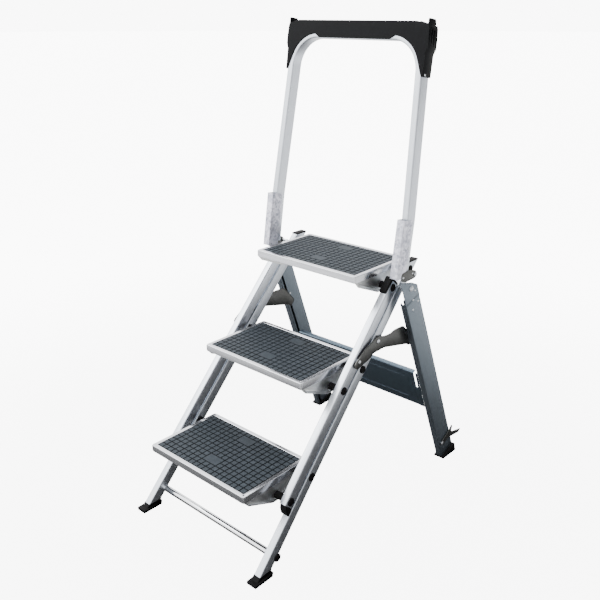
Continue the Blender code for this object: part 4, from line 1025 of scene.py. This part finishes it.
# Camera, floor and light.
studio = {
    "cameraAt": (1.2954, -1.4693, 1.3342), "cameraTurn": (68.85, 0.0, 41.88), "lens": 44.61, "sensor": 36.0,
    "lights": (("keyLight", (-2.4, -1.9, 3.0), (0, 0, 0.5), 60.0, 1.8),   # name, place, target, power, size
               ("sideLight", (3.4, -0.4, 1.6), (0, 0, 0.6), 6.0, 2.6),
               ("topLight", (-0.6, 1.4, 3.6), (0, 0, 0.4), 40.0, 2.4)),
    "brightSide": (-0.80, -0.30, 0.35), "brightest": 3.8, "dimmest": 0.30, "floor": 0.80,
    "floorPaintedShade": 0.03, "paintedShadeTo": 0.60, "paleFrom": 2.4,   # painted shade: the floor's colour is dark close to the stool, so the floor round it and what the stool's faces reflect of it look shaded
    "floorShine": 8.0, "backdrop": 9.0,
}


def aimedLight(name, at, target, power, size):
    light = bpy.data.lights.new(name, "AREA")
    light.energy = power
    light.size = size
    lamp = bpy.data.objects.new(name, light)
    bpy.context.scene.collection.objects.link(lamp)
    lamp.location = at
    lamp.rotation_euler = (Vector(target) - Vector(at)).to_track_quat("-Z", "Y").to_euler()


# Floor disc: radius times cos and sin of the turn, one ring per radius.
def makeStudio():
    spokes = 64
    turns = np.linspace(0, 2 * np.pi, spokes, endpoint=False)
    radii = np.array([0.02, 1.0, 3.0, 10.0, 60.0])
    x = radii[:, None] * np.cos(turns)
    y = radii[:, None] * np.sin(turns)
    points = np.stack([x, y, np.zeros_like(x)], axis=-1).reshape(-1, 3)
    start = np.arange(len(radii) - 1)[:, None] * spokes
    first = start + np.arange(spokes)
    after = start + (np.arange(spokes) + 1) % spokes
    quads = np.stack([first, first + spokes, after + spokes, after], axis=-1).reshape(-1, 4)
    mesh = bpy.data.meshes.new("floor")
    mesh.from_pydata(points.tolist(), [], quads.tolist() + [list(range(spokes))])
    floor = bpy.data.objects.new("floor", mesh)
    bpy.context.scene.collection.objects.link(floor)
    # Painted shade: the floor's base colour is nearly black close to the stool and pale from paleFrom outwards;
    # camera rays also get an even glow.
    material, tree, shader = startMaterial("floorWithPaintedShade", Metallic=0.0, Roughness=0.8)
    coords = addNode(tree, "TexCoord")
    away = addNode(tree, "VectorMath", {0: coords.outputs["Object"]}, operation="LENGTH")
    ease = addNode(tree, "MapRange", {"Value": away.outputs["Value"], "From Min": studio["paintedShadeTo"],
                                      "From Max": studio["paleFrom"]}, interpolation_type="SMOOTHSTEP")
    tree.links.new(blendColours(tree, ease.outputs[0], (studio["floorPaintedShade"],) * 3, (studio["floor"],) * 3),
                   shader.inputs["Base Color"])
    shader.inputs["Emission Color"].default_value = (1, 1, 1, 1)
    seen = addNode(tree, "LightPath")
    glow = addNode(tree, "Math", {0: seen.outputs["Is Camera Ray"], 1: studio["floorShine"]},
                   operation="MULTIPLY")
    tree.links.new(glow.outputs[0], shader.inputs["Emission Strength"])
    mesh.materials.append(material)

    world = bpy.data.worlds.new("softRoom")
    world.use_nodes = True
    sky = world.node_tree
    direction = addNode(sky, "TexCoord")
    facing = addNode(sky, "VectorMath", {0: direction.outputs["Generated"], 1: studio["brightSide"]},
                     operation="DOT_PRODUCT")
    soft = addNode(sky, "MapRange", {"Value": facing.outputs["Value"], "From Min": -0.6, "From Max": 0.8,
                                     "To Min": studio["dimmest"], "To Max": studio["brightest"]},
                   interpolation_type="SMOOTHSTEP")
    seen = addNode(sky, "LightPath")
    power = addNode(sky, "Mix", {0: seen.outputs["Is Camera Ray"], 2: soft.outputs[0], 3: studio["backdrop"]})
    background = sky.nodes["Background"]
    background.inputs[0].default_value = (1.0, 1.0, 1.0, 1)
    sky.links.new(power.outputs[0], background.inputs[1])
    bpy.context.scene.world = world
    for light in studio["lights"]:
        aimedLight(*light)

    camera = bpy.data.cameras.new("camera")
    camera.lens = studio["lens"]
    camera.sensor_width = studio["sensor"]
    cameraObject = bpy.data.objects.new("camera", camera)
    bpy.context.scene.collection.objects.link(cameraObject)
    cameraObject.location = studio["cameraAt"]
    cameraObject.rotation_euler = tuple(math.radians(angle) for angle in studio["cameraTurn"])
    bpy.context.scene.camera = cameraObject


makeStudio()
print("studio made")
